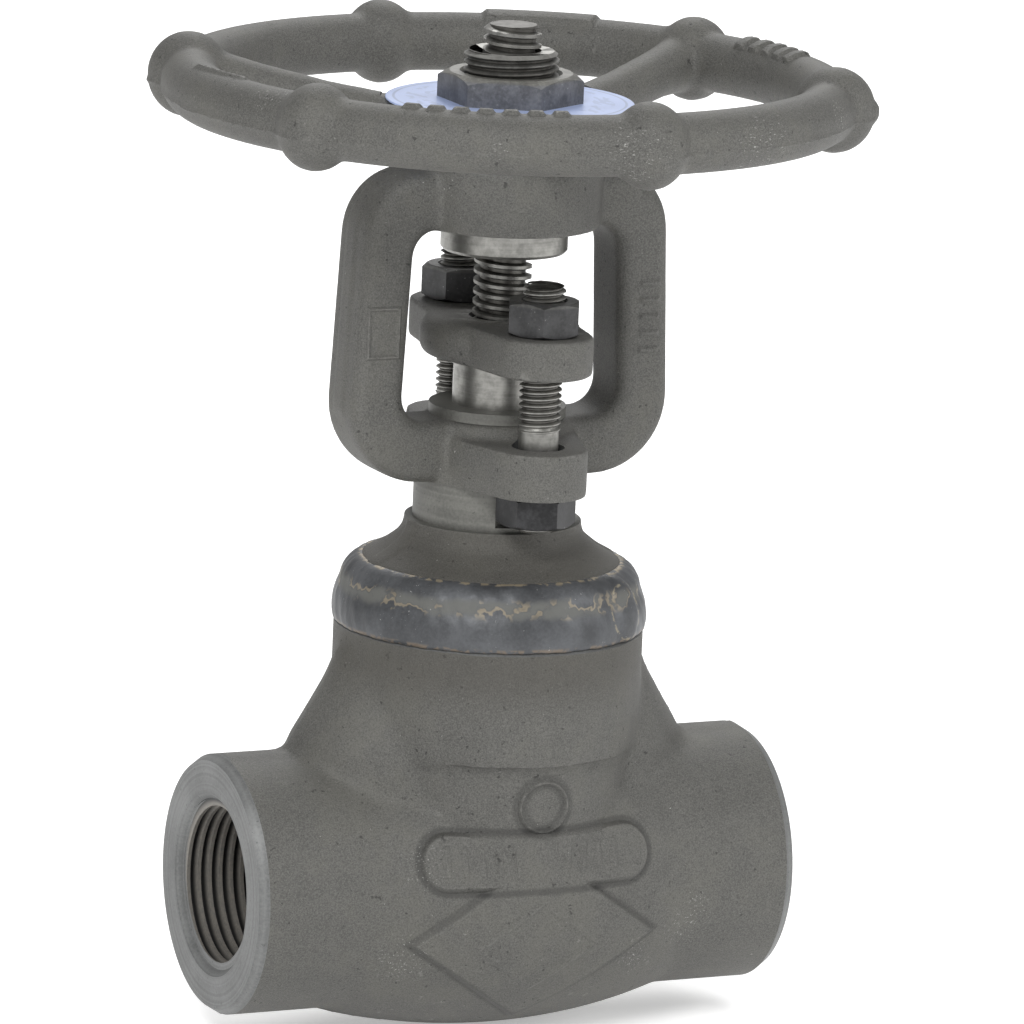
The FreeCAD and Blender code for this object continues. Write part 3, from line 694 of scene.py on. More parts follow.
def bright_finish(name, colour, rough=0.30, mottle=0.5, root=None, offset=0.0):
    """Bare turned steel with mottled stains. Root says where dark oil lies in a thread: radius of
    the oil, radius where it ends, and the height it starts at. Offset moves the axis along Y."""
    finish = Finish(name, metallic=0.9)
    stain = finish.noise(520, 4, 0.65)
    cloud = finish.noise(160, 3)
    lines = finish.noise(2600, 2, 0.5, (0.03, 0.03, 1))
    dark = finish.between(stain + cloud * 0.5, 0.62, 0.95)
    base = finish.mix(dark * mottle, colour, scaled(colour, 0.33))
    base = finish.mix(finish.between(lines, 0.3, 0.7) * 0.25, base, scaled(colour, 1.35))
    if root:
        inner, outer, foot = root
        across = abs(finish.axis("Y")) - offset
        along = finish.axis("X")
        reach = finish.root(across * across + along * along)
        oil = 1 - finish.between(reach, inner, outer)
        oil = oil * finish.between(finish.axis("Z"), foot, foot + 0.5)
        base = finish.mix(oil * 0.65, base, (0.034, 0.031, 0.026))
    return finish.complete(base, rough + stain * 0.22, lines * 0.6 + stain * 0.4, 0.03, 0.5)


def black_finish(name, colour):
    """Blackened bolting with bright scratches on its corners."""
    finish = Finish(name, metallic=0.55)
    grain = finish.noise(1400, 3, 0.6)
    cloud = finish.noise(210, 3)
    base = finish.mix(finish.between(grain * 0.5 + cloud * 0.7, 0.45, 0.85),
                      scaled(colour, 0.6), scaled(colour, 2.0))
    scratch = finish.patches(0.64, 0.70, 950, 4, 0.7, (1, 1, 0.35)) * finish.between(cloud, 0.48, 0.62)
    base = finish.mix(scratch * 0.8, base, (0.30, 0.31, 0.33))
    return finish.complete(base, 0.30 + grain * 0.2, grain, 0.035, 0.6)


def nut_finish(name, side, top, level):
    """Nut with painted light: its top face and its sides are painted in the different shades the lamps gave
    them.
    """
    finish = Finish(name, metallic=0.45)
    grain = finish.noise(1500, 3, 0.6)
    cloud = finish.noise(240, 3)
    # painted light: the top face takes its lit shade and the sides take theirs
    upper = finish.between(finish.axis("Z"), level - 0.9, level - 0.5)
    shade = finish.between(grain * 0.5 + cloud * 0.7, 0.4, 0.85)
    base = finish.mix(upper, finish.mix(shade, scaled(side, 0.65), scaled(side, 1.4)),
                      finish.mix(shade, scaled(top, 0.65), scaled(top, 1.4)))
    base = finish.mix(finish.patches(0.66, 0.72, 1500, 4, 0.7) * 0.7, base, (0.45, 0.45, 0.44))
    return finish.complete(base, 0.34 + grain * 0.2, grain, 0.04, 0.6)


def plate_finish(colour):
    """Painted plate with faint rings and short generic strokes."""
    finish = Finish("plate_paint", metallic=0.1, Coat_Weight=0.3)
    reach = finish.radius()
    ring = finish.between(reach, 21.6, 21.8) * (1 - finish.between(reach, 22.1, 22.3))
    band = finish.between(reach, 15.5, 15.7) * (1 - finish.between(reach, 19.7, 19.9))
    stroke = band * finish.patches(0.53, 0.57, 620, 2, 0.5, (1, 0.4, 1))
    cloud = finish.noise(160, 3)
    base = finish.mix(cloud, scaled(colour, 0.86), scaled(colour, 1.12))
    base = finish.mix(ring * 0.6 + stroke * 0.35, base, scaled(colour, 0.45))
    return finish.complete(base, 0.30 + cloud * 0.15)


def plain_finish(name, colour, roughness, metallic, grain_scale=900):
    finish = Finish(name, metallic=metallic)
    grain = finish.noise(grain_scale, 3, 0.6)
    base = finish.mix(grain, scaled(colour, 0.7), scaled(colour, 1.3))
    return finish.complete(base, roughness + grain * 0.15, grain, 0.04, 0.5)


FINISHES = {}


def make_finishes(colours):
    forging = tuple(colours.forging)
    machined = tuple(colours.machined)
    bright = tuple(colours.bright)
    black = tuple(colours.black)
    FINISHES.update(
        forging=forged_finish("plain_forging", forging),
        body=forged_finish("body_forging", forging, scuffs=(
            ((-23, -25, 38), 6, None), ((-26, -24, 20), 8, None), ((33, -22, 24), 8, None),
            ((6, -24, 60), 6, None), ((22, -22, 17), 6, None)),
            marked=True, heated=WELD_FOOT),
        bonnet=forged_finish("bonnet_forging", forging, heated=WELD_CROWN),
        wheel=forged_finish("wheel_forging", forging, scuffs=(
            ((-4, -65.5, 180), 9, (0.5, 0.5, 1.6)), ((24, -61, 179), 10, (0.5, 0.5, 1.6)),
            ((46, -45, 181), 6, (0.6, 0.6, 1.2)), ((-30, -62, 180), 6, (0.5, 0.5, 1.6)),
            ((66, -4, 182), 6, None), ((-58, -22, 184), 6, None))),
        face=machined_finish("port_face", machined, "X"),
        collar=machined_finish("turned_collar", (0.135, 0.134, 0.122), "Z"),
        cut=machined_finish("cut_face", scaled(machined, 0.8), "Z", 0.3),
        port_thread=cut_thread_finish(machined),
        weld=weld_finish(tuple(colours.weld)),
        bright=bright_finish("bright_steel", bright),
        stem=bright_finish("stem_steel", scaled(bright, 0.85), 0.34, 0.75, (4.5, 5.4, 131.0)),
        sleeve_thread=bright_finish("sleeve_thread_steel", scaled(bright, 0.7), 0.36, 0.75,
                                    (8.1, 8.95, 178.0)),
        bolt=bright_finish("bolt_steel", scaled(bright, 0.9), 0.32, 0.6, (3.3, 3.95, 120.0),
                           BOLT_OFFSET),
        black=black_finish("black_bolting", black),
        # the nuts' side and top colours are painted light, one lit shade for each face
        nut=nut_finish("gland_nut_steel", (0.046, 0.046, 0.047), (0.078, 0.077, 0.073), NUT_TOP),
        wheel_nut=nut_finish("wheel_nut_steel", (0.132, 0.134, 0.142), (0.138, 0.135, 0.121),
                             WHEEL_NUT_TOP),
        plate=plate_finish(tuple(colours.plate)),
        seat=plain_finish("seat_alloy", (0.55, 0.54, 0.50), 0.25, 0.9),
        graphite=plain_finish("graphite", (0.03, 0.03, 0.032), 0.45, 0.2, 1500),
        tool_steel=plain_finish("disc_steel", (0.42, 0.41, 0.39), 0.3, 0.9))


# Pieces ------------------------------------------------------------------------------


def seam_band(x, y, half=2.6):
    return ramp(abs(y) - half, 0.9)


def body_marks(x, y, z):
    """Raised bar with plain ribs, double diamond and small ring on the front of the body."""
    if y > -11:
        return 0.0
    rise = z - RUN
    bar = ramp(math.hypot(max(abs(x) - BAR_HALF, 0), rise - BAR_RISE) - 5.0, 0.9)
    diamond = abs(x) / DIAMOND_HALF + abs(rise + DIAMOND_DROP) / DIAMOND_TALL - 1
    diamond = ramp(diamond * DIAMOND_SCALE, 1.1)
    ring = ramp(abs(math.hypot(x, rise - MARK_RING_RISE) - MARK_RING_RADIUS) - 0.3, 0.6)
    inner = ramp(abs((abs(x) / 12 + abs(rise + 8.5) / 8.3 - 1) * 6.8) - 0.35, 0.6)
    strokes = 0.0
    if abs(rise - BAR_RISE) < 3.4 and 4.2 < abs(x + 1.2) < 19:
        strokes = ramp(abs(x % 3.4 - 1.7) - 0.45, 0.5) * ramp(abs(rise - BAR_RISE) - 2.5, 0.6)
    lip = ramp(NECK_STEP - z, 0.7) * ramp(z - 70, 24) * ramp(abs(x - 1) - 17, 6)
    return max(bar * 0.78, diamond * 0.72, ring * 0.5, lip * 0.75) + 0.3 * strokes + 0.2 * inner


class VALVE_OT_finishes(bpy.types.Operator):
    """Makes every finish and coats the machined parts that stay as they are"""
    bl_idname = "valve.finishes"
    bl_label = "Finishes"

    def execute(self, context):
        make_finishes(context.scene.valve_colours)
        kept = {"seat_ring": "seat", "disc": "tool_steel", "packing_washer": "bright"}
        for node, finish in kept.items():
            coat(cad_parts[node], FINISHES[finish])
        return {"FINISHED"}


class VALVE_OT_body(bpy.types.Operator):
    """Forged body with its neck, shoulders, raised marks and threaded ports"""
    bl_idname = "valve.body"
    bl_label = "Body"

    def execute(self, context):
        forging = context.scene.valve_forging
        pitch = context.scene.valve_threads.port / MM
        piece = join([
            turned("body_forging", [(24.75, -57.5), (24.75, 57.5)], 128, along="X", at=(0, 0, RUN)),
            ball("belly", (60, 29.1, 28.9), (0, 0, RUN - 1), 96),
            turned("chamber", [(28.4, RUN), (28.4, NECK_STEP + 1)], 128),
            turned("neck", [(29.5, NECK_STEP), (29.5, NECK_TOP + 3)], 128),
            lofted("shoulders", [(43, 22, RUN + 13), (39.7, 22, RUN + 26.5), (36.2, 21, RUN + 32),
                                 (32.6, 19.8, RUN + 38), (29.4, 17, RUN + 46), (28.0, 15, RUN + 49)])])
        forge(piece, forging.grid / MM * 1.35, max(0, forging.rounding - 3))
        refine(piece, lambda x, y, z: y < -11 and abs(x) < 27 and z < 59, 1)
        refine(piece, lambda x, y, z: y < -11 and (abs(x) < 26.5 and z < 45 or abs(x) < 7 and z < 55
                                                   or abs(x - 1) < 22 and 55 < z < 58.5), 1)
        raise_skin(piece, forging.mark, body_marks)
        raise_skin(piece, forging.seam, lambda x, y, z: seam_band(x, y) * ramp(abs(z - 37) - 38, 4))
        coat(piece, FINISHES["body"])
        face = FINISHES["face"]
        cut = FINISHES["cut"]
        thread = FINISHES["port_thread"]
        for side in ("X", "-X"):
            at = (0, 0, RUN)
            carve(piece,
                  turned("facing", [(23.6, PORT_END), (27.2, 49.8), (40, 49.8), (40, 62), (23.6, 62)], 160,
                         True, side, at, face),
                  turned("end", [(24, PORT_END), (24, 62)], 160, False, side, at, face),
                  turned("mouth", [(16.2, 54.2), (17.5, PORT_END), (18.5, PORT_END + 1)], 160, False, side,
                         at, face),
                  threaded_rod("tap", 16.4, 14.9, pitch, 35.5, 56.5, crest=0.12, root=0.3, steps=72,
                               along=side, at=at, material=thread))
        groove = carve(turned("groove", [(19, 33.2), (19, 70.2)], 96, material=cut),
                       block("slot", (-3.3, -30, 20), (3.3, 30, 80), cut), how="INTERSECT")
        carve(piece,
              turned("bevel", [(29.9, 77.7), (45, 77.7), (45, 83), (24.6, 83)], 128, True, material=cut),
              turned("top", [(45, NECK_TOP), (45, 90)], 96, material=cut),
              rod("inlet", (-36.5, 0, RUN - 3), (0, 0, RUN - 16), 8, 8, cut),
              turned("well", [(9, RUN - 17), (9, 29.2)], 72, material=cut),
              turned("pocket", [(12.5, 28.2), (12.5, 34.2)], 72, material=cut),
              turned("bowl", [(17, 33.2), (17, 84)], 96, material=cut),
              rod("outlet", (14, 0, 41.5), (36.5, 0, RUN), 8, 8, cut),
              turned("spigot_bore", [(21, 70.2), (21, 84)], 96, material=cut),
              groove)
        hand_over(piece, "valve_body", "forged_steel", "body")
        return {"FINISHED"}


def runs_along_y(a, b):
    """True for an edge that runs along Y."""
    return abs(a.x - b.x) < 0.1 and abs(a.z - b.z) < 0.1


def bonnet_seam(x, y, z):
    """Die seam on the arms beside the collar and on the cone."""
    band = seam_band(x, y, 2.2)
    return (band * ramp(26 - abs(x), 2) * ramp(120 - z, 2)
            + band * ramp(z - 98, 1) * ramp(84 - z, 1))


class VALVE_OT_bonnet(bpy.types.Operator):
    """Forged bonnet with its cone, turned collar, lugs, yoke legs, arch and boss"""
    bl_idname = "valve.bonnet"
    bl_label = "Bonnet and yoke"

    def execute(self, context):
        forging = context.scene.valve_forging
        frame_piece = block("bonnet_forging", (-32.8, -7.25, LUG_BASE), (32.8, 7.25, 166.2))
        bevel_edges(frame_piece, lambda a, b: runs_along_y(a, b) and a.z < 110, 15.0, 10)
        bevel_edges(frame_piece, lambda a, b: runs_along_y(a, b) and a.z > 166, 12.5, 10)
        window = block("window", (-22.2, -20, WINDOW_SILL), (22.2, 20, ARCH))
        bevel_edges(window, runs_along_y, 5.0, 6)
        draw_in(frame_piece, 140, 0.957)
        draw_in(window, 140, 0.95)
        carve(frame_piece, window)
        apply_modifier(frame_piece, "BEVEL", width=2.6 * MM, segments=4, limit_method="ANGLE",
                       angle_limit=math.radians(60))
        piece = join([
            frame_piece,
            turned("cone", [(20.7, 70.5), (20.7, 82.6), (25.2, 82.6), (25.2, 90.2), (24.8, 90.7),
                            (21.2, 92.6), (18.2, 94.9), (17.0, 96.8), (16.7, 99.7),
                            (15.8, 100.7), (15.8, 109)], 128),
            hull("lugs", [(15, 0), (9.4, -BOLT_OFFSET), (9.4, BOLT_OFFSET)],
                 LUG_BASE - 0.5, LUG_BASE + 8.9),
            turned("box_wall", [(15.4, LUG_BASE), (15.2, 115.5), (14.4, 116.8),
                                (13.8, WINDOW_SILL)], 96),
            turned("boss", [(18.1, ARCH), (18.1, BOSS_TOP)], 128)])
        forge(piece, forging.grid / MM * 0.75, forging.rounding)
        raise_skin(piece, forging.seam, bonnet_seam)
        refine(piece, lambda x, y, z: y < -6.4 and abs(x) > 23 and 128 < z < 152, 2)
        raise_skin(piece, 0.45 * MM, leg_marks)
        coat(piece, FINISHES["bonnet"])
        collar = FINISHES["collar"]
        cut = FINISHES["cut"]
        tools = [
            turned("collar_cut", [(15.3, RING_TOP), (30, RING_TOP), (30, LUG_BASE),
                                  (15.3, LUG_BASE)], 128, True, material=collar),
            turned("pocket", [(8.3, 69), (8.3, 79.76), (STEM_BORE, 82.5), (STEM_BORE, 89)], 72,
                   material=cut),
            turned("stuffing_box", [(8.75, 88.2), (8.75, 119.6)], 72, material=cut),
            turned("boss_bore", [(10.56, 154), (10.56, 168.5)], 72, material=cut),
            turned("boss_face", [(30, BOSS_TOP - 0.02), (30, 170)], 72, material=collar),
            turned("arch_face", [(13.2, ARCH - 1.5), (13.2, ARCH)], 72, material=collar),
            turned("sill_face", [(13.0, WINDOW_SILL - 0.02), (13.0, WINDOW_SILL + 2)], 72,
                   material=collar)]
        for side in (-1, 1):
            tools.append(turned("head_room", [(7.7, 99.5), (7.7, LUG_BASE + 0.01)], 72,
                                at=(0, side * BOLT_OFFSET, 0), material=collar))
        carve(piece, *tools)
        for side in (-1, 1):
            carve(piece, turned("lug_hole", [(BOLT_HOLE, 101), (BOLT_HOLE, 111), (5.0, 112),
                                             (5.0, 122)], 48,
                                at=(0, side * BOLT_OFFSET, 0), material=cut))
        hand_over(piece, "valve_body", "forged_steel", "bonnet_yoke")
        return {"FINISHED"}


def leg_marks(x, y, z):
    """Blank frame on the left leg and plain bars on the right leg."""
    if y > -6.4:
        return 0.0
    if x < 0:
        across, up = abs(x + 27.3), abs(z - 136.4)
        outside = max(across - 3.0, up - 4.6)
        return ramp(abs(outside) - 0.25, 0.5)
    across = abs(x - 27.6)
    bar = abs((z - 137.5 + 8.0) % 3.2 - 1.6)
    return ramp(max(across - 1.9, bar - 0.45, abs(z - 137.5) - 8.0), 0.6)


class VALVE_OT_weld(bpy.types.Operator):
    """Seal weld between the body and the bonnet, laid in two passes"""
    bl_idname = "valve.weld"
    bl_label = "Bonnet weld"

    def execute(self, context):
        crown = [(29.35, 78.25), (29.6, 78.7), (29.8, 79.4), (29.9, 80.4), (29.85, 81.6),
                 (29.7, 82.8), (29.4, 84.0), (29.0, 85.0), (28.7, 85.8), (28.5, 86.5),
                 (28.4, 87.1), (28.1, 87.9), (27.6, 88.7), (26.9, 89.5), (26.1, 90.2),
                 (25.2, 90.7), (24.4, 91.0)]
        piece = turned("bonnet_weld_bead", [(25.42, 82.2), *crown, (24.0, 90.2), (25.42, 88.9)],
                       300, True)

        def swell(x, y, z):
            """Wandering pass edges, and the lump where the last pass overlaps its start."""
            reach = math.hypot(x, y)
            if reach < 25.9:
                return 0.0
            azimuth = math.degrees(math.atan2(y, x))
            lump = math.hypot((azimuth + 52) / 8.5, (z - 84.5) / 6.5)
            waves = 0.5 + 0.25 * math.sin(azimuth * 0.35) + 0.25 * math.sin(azimuth * 0.83 + z)
            return 0.25 * waves + 0.75 * ramp(lump - 0.85, 0.28)

        raise_skin(piece, 0.9 * MM, swell)
        apply_modifier(piece, "SUBSURF", levels=1, render_levels=1)
        coat(piece, FINISHES["weld"])
        hand_over(piece, "valve_body", "weld_metal", "bonnet_weld", angle=50)
        return {"FINISHED"}


class VALVE_OT_stem(bpy.types.Operator):
    """Rising stem with its head, back-seat collar and left-hand thread"""
    bl_idname = "valve.stem"
    bl_label = "Stem"

    def execute(self, context):
        pitch = context.scene.valve_threads.stem / MM
        steel = FINISHES["stem"]
        piece = threaded_rod("stem_thread", STEM_RADIUS, 4.35, pitch, 128.0, STEM_TOP, True,
                             0.30, 0.30, 64, material=steel)
        carve(piece, turned("bevel", [(5.7, 126), (5.7, STEM_TOP - 1.1), (4.5, STEM_TOP)], 72,
                            material=steel), how="INTERSECT")
        lower = turned("shank", [(7.5, 43.4), (7.5, 47.4), (STEM_RADIUS, 47.4),
                                 (STEM_RADIUS, 64.7), (8, 64.7), (8, 69.7), (STEM_RADIUS, 72.2),
                                 (STEM_RADIUS, 130.4), (4.6, 131.2)], 72, material=steel)
        carve(piece, lower, how="UNION")
        hand_over(piece, "closure", "bright_steel", "stem")
        return {"FINISHED"}


class VALVE_OT_sleeve(bpy.types.Operator):
    """Turning sleeve with its thrust flange and the thread for the wheel nut"""
    bl_idname = "valve.sleeve"
    bl_label = "Yoke sleeve"

    def execute(self, context):
        pitch = context.scene.valve_threads.sleeve / MM
        steel = FINISHES["bright"]
        piece = threaded_rod("sleeve_thread", 9.0, 8.15, pitch, 178.4, SLEEVE_TOP, False,
                             0.16, 0.2, 72, material=FINISHES["sleeve_thread"])
        carve(piece, turned("bevel", [(9.2, 178), (9.2, SLEEVE_TOP - 1.0), (8.0, SLEEVE_TOP)], 96,
                            material=steel), how="INTERSECT")
        lower = turned("journal", [(11.5, 150.1), (12.05, 150.7), (12.05, 154.5), (11.6, 155.1),
                                   (10.5, 155.1), (10.5, HUB_BASE), (9.0, HUB_BASE),
                                   (9.0, 178.6), (8.4, 178.9)], 96, material=steel)
        carve(piece, lower, how="UNION")
        carve(piece, turned("bore", [(6.4, 149.2), (STEM_BORE, 150.9), (STEM_BORE, 189.0)], 72,
                            material=steel))
        hand_over(piece, "wheel_set", "bright_steel", "yoke_sleeve")
        return {"FINISHED"}


class VALVE_OT_gland(bpy.types.Operator):
    """Gland bush, the packing rings under it and the forged flange that presses it down"""
    bl_idname = "valve.gland"
    bl_label = "Gland"

    def execute(self, context):
        forging = context.scene.valve_forging
        bush = turned("gland_bush", [(STEM_BORE, 110.3), (8.2, 110.3), (8.63, 110.8),
                                     (8.63, 128.7), (10.1, 128.9), (10.3, 129.2),
                                     (10.3, GLAND_LOW), (8.63, GLAND_LOW), (8.63, 133.0),
                                     (7.9, 133.7), (STEM_BORE, 133.7)], 96, True,
                      material=FINISHES["bright"])
        hand_over(bush, "gland_set", "bright_steel", "gland")
        for k in range(5):
            low = PACKING_BASE + PACKING_STEP * k
            high = low + PACKING_STEP
            ring = turned(f"graphite_ring_{k + 1}", [
                (STEM_BORE, low + 0.3), (STEM_BORE + 0.3, low), (8.39, low),
                (PACKING_RADIUS, low + 0.3), (PACKING_RADIUS, high - 0.3), (8.39, high),
                (STEM_BORE + 0.3, high), (STEM_BORE, high - 0.3)], 96, True,
                material=FINISHES["graphite"])
            hand_over(ring, "valve_body", "graphite", f"packing_ring_{k + 1}")
            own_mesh(ring)
        piece = hull("gland_flange_forging", [(12.6, 0), (9.6, -BOLT_OFFSET), (9.6, BOLT_OFFSET)],
                     GLAND_LOW, GLAND_TOP + 0.1)
        apply_modifier(piece, "BEVEL", width=3.0 * MM, segments=5, limit_method="ANGLE",
                       angle_limit=math.radians(60))
        piece = join([piece, turned("middle", [(12.8, GLAND_LOW), (14.6, GLAND_LOW + 0.7),
                                               (15.4, GLAND_LOW + 2.4), (15.4, GLAND_TOP - 2.4),
                                               (14.4, GLAND_TOP - 0.6), (12.6, GLAND_TOP + 0.1)],
                                    96)])
        forge(piece, forging.grid / MM * 0.6, forging.rounding * 2)
        coat(piece, FINISHES["forging"])
        cut = FINISHES["cut"]
        tools = [turned("seat", [(PACKING_RADIUS, 128), (PACKING_RADIUS, 133.8)], 72, material=cut),
                 turned("way", [(6.1, 129), (6.1, 139)], 72, material=cut),
                 turned("top_face", [(40, GLAND_TOP), (40, 140)], 72, material=FINISHES["forging"])]
        for side in (-1, 1):
            tools.append(turned("bolt_hole", [(BOLT_HOLE, 128), (BOLT_HOLE, 139)], 48,
                                at=(0, side * BOLT_OFFSET, 0), material=cut))
        carve(piece, *tools)
        hand_over(piece, "gland_set", "forged_steel", "gland_flange")
        return {"FINISHED"}


def copied(piece, name, at):
    """Copy with its own mesh, moved by millimetres."""
    twin = piece.copy()
    twin.data = piece.data.copy()
    twin.name = name
    bpy.context.collection.objects.link(twin)
    return settle(twin, at)


class VALVE_OT_bolting(bpy.types.Operator):
    """Gland bolts and their nuts"""
    bl_idname = "valve.bolting"
    bl_label = "Gland bolting"

    def execute(self, context):
        pitch = context.scene.valve_threads.bolt / MM
        bright = FINISHES["bolt"]
        front = hexagon("gland_bolt_front_finished", BOLT_HEXAGON, 101.0, LUG_BASE,
                        corner_on_x=True, material=FINISHES["black"])
        settle(front, turn=(0, 0, math.radians(-22)))
        carve(front, turned("stub", [(3.1, 99.8), (3.6, 100.3), (3.6, 102)], 48, material=bright),
              how="UNION")
        shank = threaded_rod("bolt_thread", 4.0, 3.3, pitch, 119.0, BOLT_TOP, False,
                             0.16, 0.16, 48, material=bright)
        carve(shank, turned("bevel", [(4.2, 118), (4.2, 146.1), (3.4, BOLT_TOP)], 48,
                            material=bright), how="INTERSECT")
        carve(shank, turned("plain", [(3.75, 106.0), (3.75, 119.6), (3.35, 120.2)], 48,
                            material=bright), how="UNION")
        carve(front, shank, how="UNION")
        settle(front, (0, -BOLT_OFFSET, 0))
        rear = copied(front, "gland_bolt_rear_finished", (0, 2 * BOLT_OFFSET, 0))
        nut = hexagon("gland_nut_front_finished", BOLT_HEXAGON, NUT_BASE, NUT_TOP,
                      material=FINISHES["nut"])
        carve(nut, turned("hole", [(4.9, NUT_BASE - 0.6), (4.06, NUT_BASE + 0.5), (4.06, 143.5),
                                   (4.9, 144.6)], 48, material=FINISHES["nut"]))
        rear_nut = copied(nut, "gland_nut_rear_finished", (0, 0, 0))
        settle(rear_nut, (0, BOLT_OFFSET, 0), (0, 0, math.radians(14)))
        settle(nut, (0, -BOLT_OFFSET, 0), (0, 0, math.radians(-25)))
        hand_over(front, "valve_body", "black_bolting", "gland_bolt_front")
        hand_over(rear, "valve_body", "black_bolting", "gland_bolt_rear")
        hand_over(nut, "nut_front", "black_bolting", "gland_nut_front", angle=25)
        hand_over(rear_nut, "nut_rear", "black_bolting", "gland_nut_rear", angle=25)
        return {"FINISHED"}


def polar(radius, degrees, height):
    angle = math.radians(degrees)
    return (radius * math.cos(angle), radius * math.sin(angle), height)


def wheel_marks(x, y, z):
    """Parting ridge, blank pad on the back of the rim, small plain bars, nub and slanted seam."""
    reach = math.hypot(x, y)
    azimuth = math.degrees(math.atan2(y, x))
    ridge = 0.55 * ramp(abs(z - RIM + 1.4) - 0.25, 0.8) if reach > 60 else 0.0
    pad = 0.0
    if z > RIM and 40 < azimuth < 80:
        along = (azimuth - 60) / 180 * math.pi * 60
        pad = ramp(max(abs(along) - 11.0, abs(reach - 60) - 3.2), 1.0)
    bars = 0.0
    for centre, count, pitch, height in ((-119, 7, 4.4, 0.9), (6.5, 5, 4.2, 1.0)):
        gap = azimuth - centre
        if z > RIM + 1 and abs(gap) < count * pitch / 2:
            stroke = abs((gap + 100 * pitch + (count - 1) % 2 * pitch / 2) % pitch - pitch / 2)
            bars = max(bars, height * ramp(max(0.85 - stroke, abs(reach - 58.7) - 2.2), 0.5))
    nub = 0.9 * ramp(math.hypot(azimuth + 30, (z - RIM) / 1.3) - 1.3, 1.2) if reach > 66 else 0.0
    turn = (azimuth - 182 + 180) % 360 - 180
    seam = 0.0
    if z > RIM + 3:
        seam = 0.8 * ramp(max(abs(reach - 60.5 + turn * 0.12) - 0.5, abs(turn) - 8), 0.8)
    return max(ridge, pad, bars, nub, seam)


class VALVE_OT_handwheel(bpy.types.Operator):
    """Forged handwheel with its rim, grip knobs, spokes and hub"""
    bl_idname = "valve.handwheel"
    bl_label = "Handwheel"

    def execute(self, context):
        forging = context.scene.valve_forging
        deselect_all()
        bpy.ops.mesh.primitive_torus_add(major_radius=RIM_RADIUS * MM, minor_radius=5.7 * MM,
                                         major_segments=240, minor_segments=40)
        piece = settle(bpy.context.object, (0, 0, RIM))
        piece.name = "handwheel_forging"
        parts = [piece, turned("hub", [(16.4, HUB_BASE - 0.3), (17.1, HUB_BASE + 1.5),
                                       (17.1, HUB_TOP + 0.4)], 96)]
        for degrees in (30, 150, 270):
            sections = ((10, 172.4, 5.4), (19, 173.3, 4.8), (35, 176.0, 4.35), (48, 178.4, 4.6),
                        (58.5, 180.0, 5.6))
            for (near, low, thick), (far, high, thin) in zip(sections, sections[1:]):
                start, end = polar(near, degrees, low), polar(far, degrees, high)
                parts.append(rod("spoke", start, end, thick, thin))
                parts.append(ball("spoke_knuckle", (thin, thin, thin), end, 32))
        for degrees in range(30, 390, 60):
            knob = ball("knob", (7.85, 7.2, 8.2), (61, 0, RIM))
            parts.append(settle(knob, turn=(0, 0, math.radians(degrees))))
        join(parts)
        forge(piece, forging.grid / MM * 0.9, forging.rounding)
        marked = ((-119, 17), (6.5, 12), (60, 13), (180, 12), (-180, 12))
        refine(piece, lambda x, y, z: z > RIM and math.hypot(x, y) > 53
               and any(abs(math.degrees(math.atan2(y, x)) - centre) < reach for centre, reach in marked), 1)
        raise_skin(piece, 0.8 * MM, wheel_marks)
        coat(piece, FINISHES["wheel"])
        cut = FINISHES["cut"]
        carve(piece,
              turned("hub_face", [(24.5, HUB_TOP), (24.5, 190)], 96, material=FINISHES["wheel"]),
              turned("hub_foot", [(24.5, 160), (24.5, HUB_BASE)], 96, material=cut),
              hexagon("drive", 18.4, 165, 180, material=cut))
        hand_over(piece, "wheel_set", "forged_steel", "handwheel")
        return {"FINISHED"}


class VALVE_OT_plate_and_nut(bpy.types.Operator):
    """Round identification plate and the nut that holds the wheel"""
    bl_idname = "valve.plate_and_nut"
    bl_label = "Plate and wheel nut"

    def execute(self, context):
        plate = turned("identification_plate_finished", [
            (9.3, HUB_TOP), (23.35, HUB_TOP), (23.5, HUB_TOP + 0.1), (23.5, PLATE_TOP - 0.1),
            (23.35, PLATE_TOP), (9.3, PLATE_TOP)], 160, True, material=FINISHES["plate"])
        hand_over(plate, "wheel_set", "plate_blue", "identification_plate")
        steel = FINISHES["wheel_nut"]
        nut = hexagon("wheel_nut_finished", 24.0, PLATE_TOP, WHEEL_NUT_TOP, both=False,
                      material=steel)
        carve(nut, turned("hole", [(9.06, 177), (9.06, 183.4), (10.2, 184.6)], 72, material=steel))
        hand_over(nut, "wheel_set", "nut_steel", "handwheel_nut", angle=25)
        return {"FINISHED"}


# Stage -------------------------------------------------------------------------------


def soft_light(name, place, aim, size, power):
    deselect_all()
    bpy.ops.object.light_add(type="AREA", location=place)
    light = bpy.context.object
    light.name = name
    light.data.shape = "DISK"
    light.data.size = size
    light.data.energy = power
    light.rotation_euler = (Vector(aim) - Vector(place)).to_track_quat("-Z", "Y").to_euler()


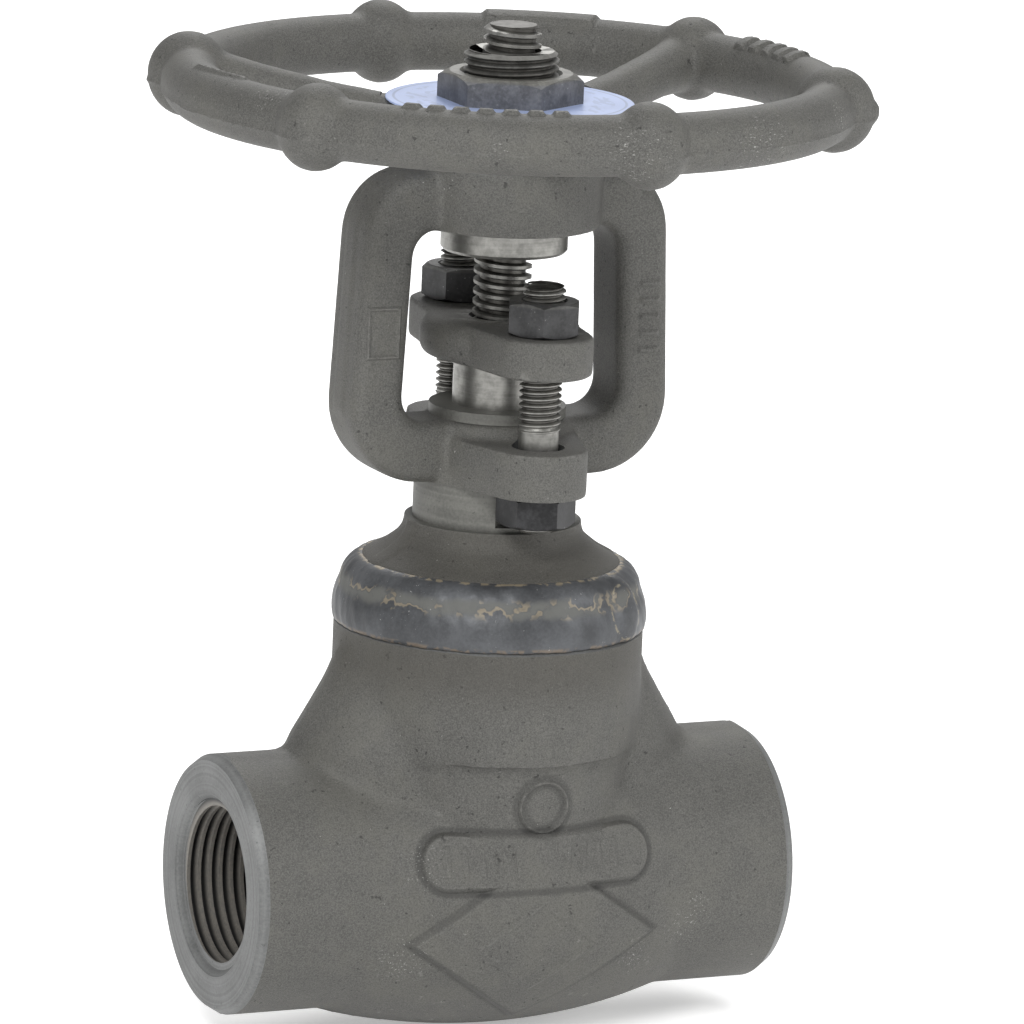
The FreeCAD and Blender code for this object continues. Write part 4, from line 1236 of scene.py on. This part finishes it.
class VALVE_OT_stage(bpy.types.Operator):
    """Pale floor, soft studio light and the camera"""
    bl_idname = "valve.stage"
    bl_label = "Stage"

    def execute(self, context):
        stage = context.scene.valve_stage
        deselect_all()
        bpy.ops.mesh.primitive_plane_add(size=14, location=(0, 0, 0))
        floor = bpy.context.object
        floor.name = "floor"
        paper = Finish("floor_paper", roughness=0.95)
        cloud = paper.noise(3, 2)
        paper.set("Base Color", paper.mix(cloud, tuple(stage.floor), scaled(stage.floor, 1.02)))
        paper.shader.inputs["Emission Color"].default_value = (1, 1, 1, 1)
        paper.shader.inputs["Emission Strength"].default_value = 0.35
        coat(floor, paper.material)
        world = bpy.data.worlds.new("studio")
        world.use_nodes = True
        world.node_tree.nodes["Background"].inputs["Color"].default_value = (1, 1, 1, 1)
        world.node_tree.nodes["Background"].inputs["Strength"].default_value = stage.sky
        context.scene.world = world
        context.scene.view_settings.view_transform = "Standard"
        soft_light("key", (-1.0, -1.3, 1.5), (0, 0, 0.09), 0.9, stage.key)
        soft_light("fill", (1.3, -1.0, 0.9), (0, 0, 0.09), 1.0, stage.key * 0.35)
        soft_light("back", (0.6, 1.3, 1.4), (0, 0, 0.12), 1.0, stage.key * 0.5)
        turn = math.radians(CAMERA_TURN)
        lift = math.radians(CAMERA_LIFT)
        roll = math.radians(CAMERA_ROLL)
        right = Vector((math.cos(turn), math.sin(turn), 0))
        back = Vector((math.sin(turn) * math.cos(lift), -math.cos(turn) * math.cos(lift),
                       math.sin(lift)))
        up = back.cross(right)
        across = math.cos(roll) * right + math.sin(roll) * up
        above = math.cos(roll) * up - math.sin(roll) * right
        deselect_all()
        bpy.ops.object.camera_add()
        camera = bpy.context.object
        camera.data.lens = CAMERA_LENS
        camera.data.sensor_width = 36.0
        camera.data.clip_end = 50.0
        camera.matrix_world = Matrix.Translation(CAMERA_PLACE) @ Matrix(
            (across, above, back)).transposed().to_4x4()
        context.scene.camera = camera
        return {"FINISHED"}


class VALVE_PT_panel(bpy.types.Panel):
    """Lists the pieces in the order they are made"""
    bl_idname = "VALVE_PT_panel"
    bl_label = "Globe valve"
    bl_space_type = "VIEW_3D"
    bl_region_type = "UI"
    bl_category = "Valve"

    def draw(self, context):
        for settings in ("valve_forging", "valve_threads", "valve_colours", "valve_stage"):
            group = getattr(context.scene, settings)
            box = self.layout.box()
            for name in group.bl_rna.properties.keys():
                if name not in ("rna_type", "name"):
                    box.prop(group, name)
        for maker in MAKERS:
            self.layout.operator(maker.bl_idname)


MAKERS = (VALVE_OT_finishes, VALVE_OT_body, VALVE_OT_bonnet, VALVE_OT_weld, VALVE_OT_stem,
          VALVE_OT_sleeve, VALVE_OT_gland, VALVE_OT_bolting, VALVE_OT_handwheel,
          VALVE_OT_plate_and_nut, VALVE_OT_stage)
GROUPS = {"valve_forging": ForgingSettings, "valve_threads": ThreadSettings,
          "valve_colours": ColourSettings, "valve_stage": StageSettings}


def register():
    for name, group in GROUPS.items():
        bpy.utils.register_class(group)
        setattr(bpy.types.Scene, name, PointerProperty(type=group))
    for maker in MAKERS:
        bpy.utils.register_class(maker)
    bpy.utils.register_class(VALVE_PT_panel)


def unregister():
    bpy.utils.unregister_class(VALVE_PT_panel)
    for maker in reversed(MAKERS):
        bpy.utils.unregister_class(maker)
    for name, group in GROUPS.items():
        delattr(bpy.types.Scene, name)
        bpy.utils.unregister_class(group)


def main():
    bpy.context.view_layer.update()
    register()
    for maker in MAKERS:
        getattr(bpy.ops.valve, maker.bl_idname.split(".")[1])()


if __name__ == "__main__":
    main()
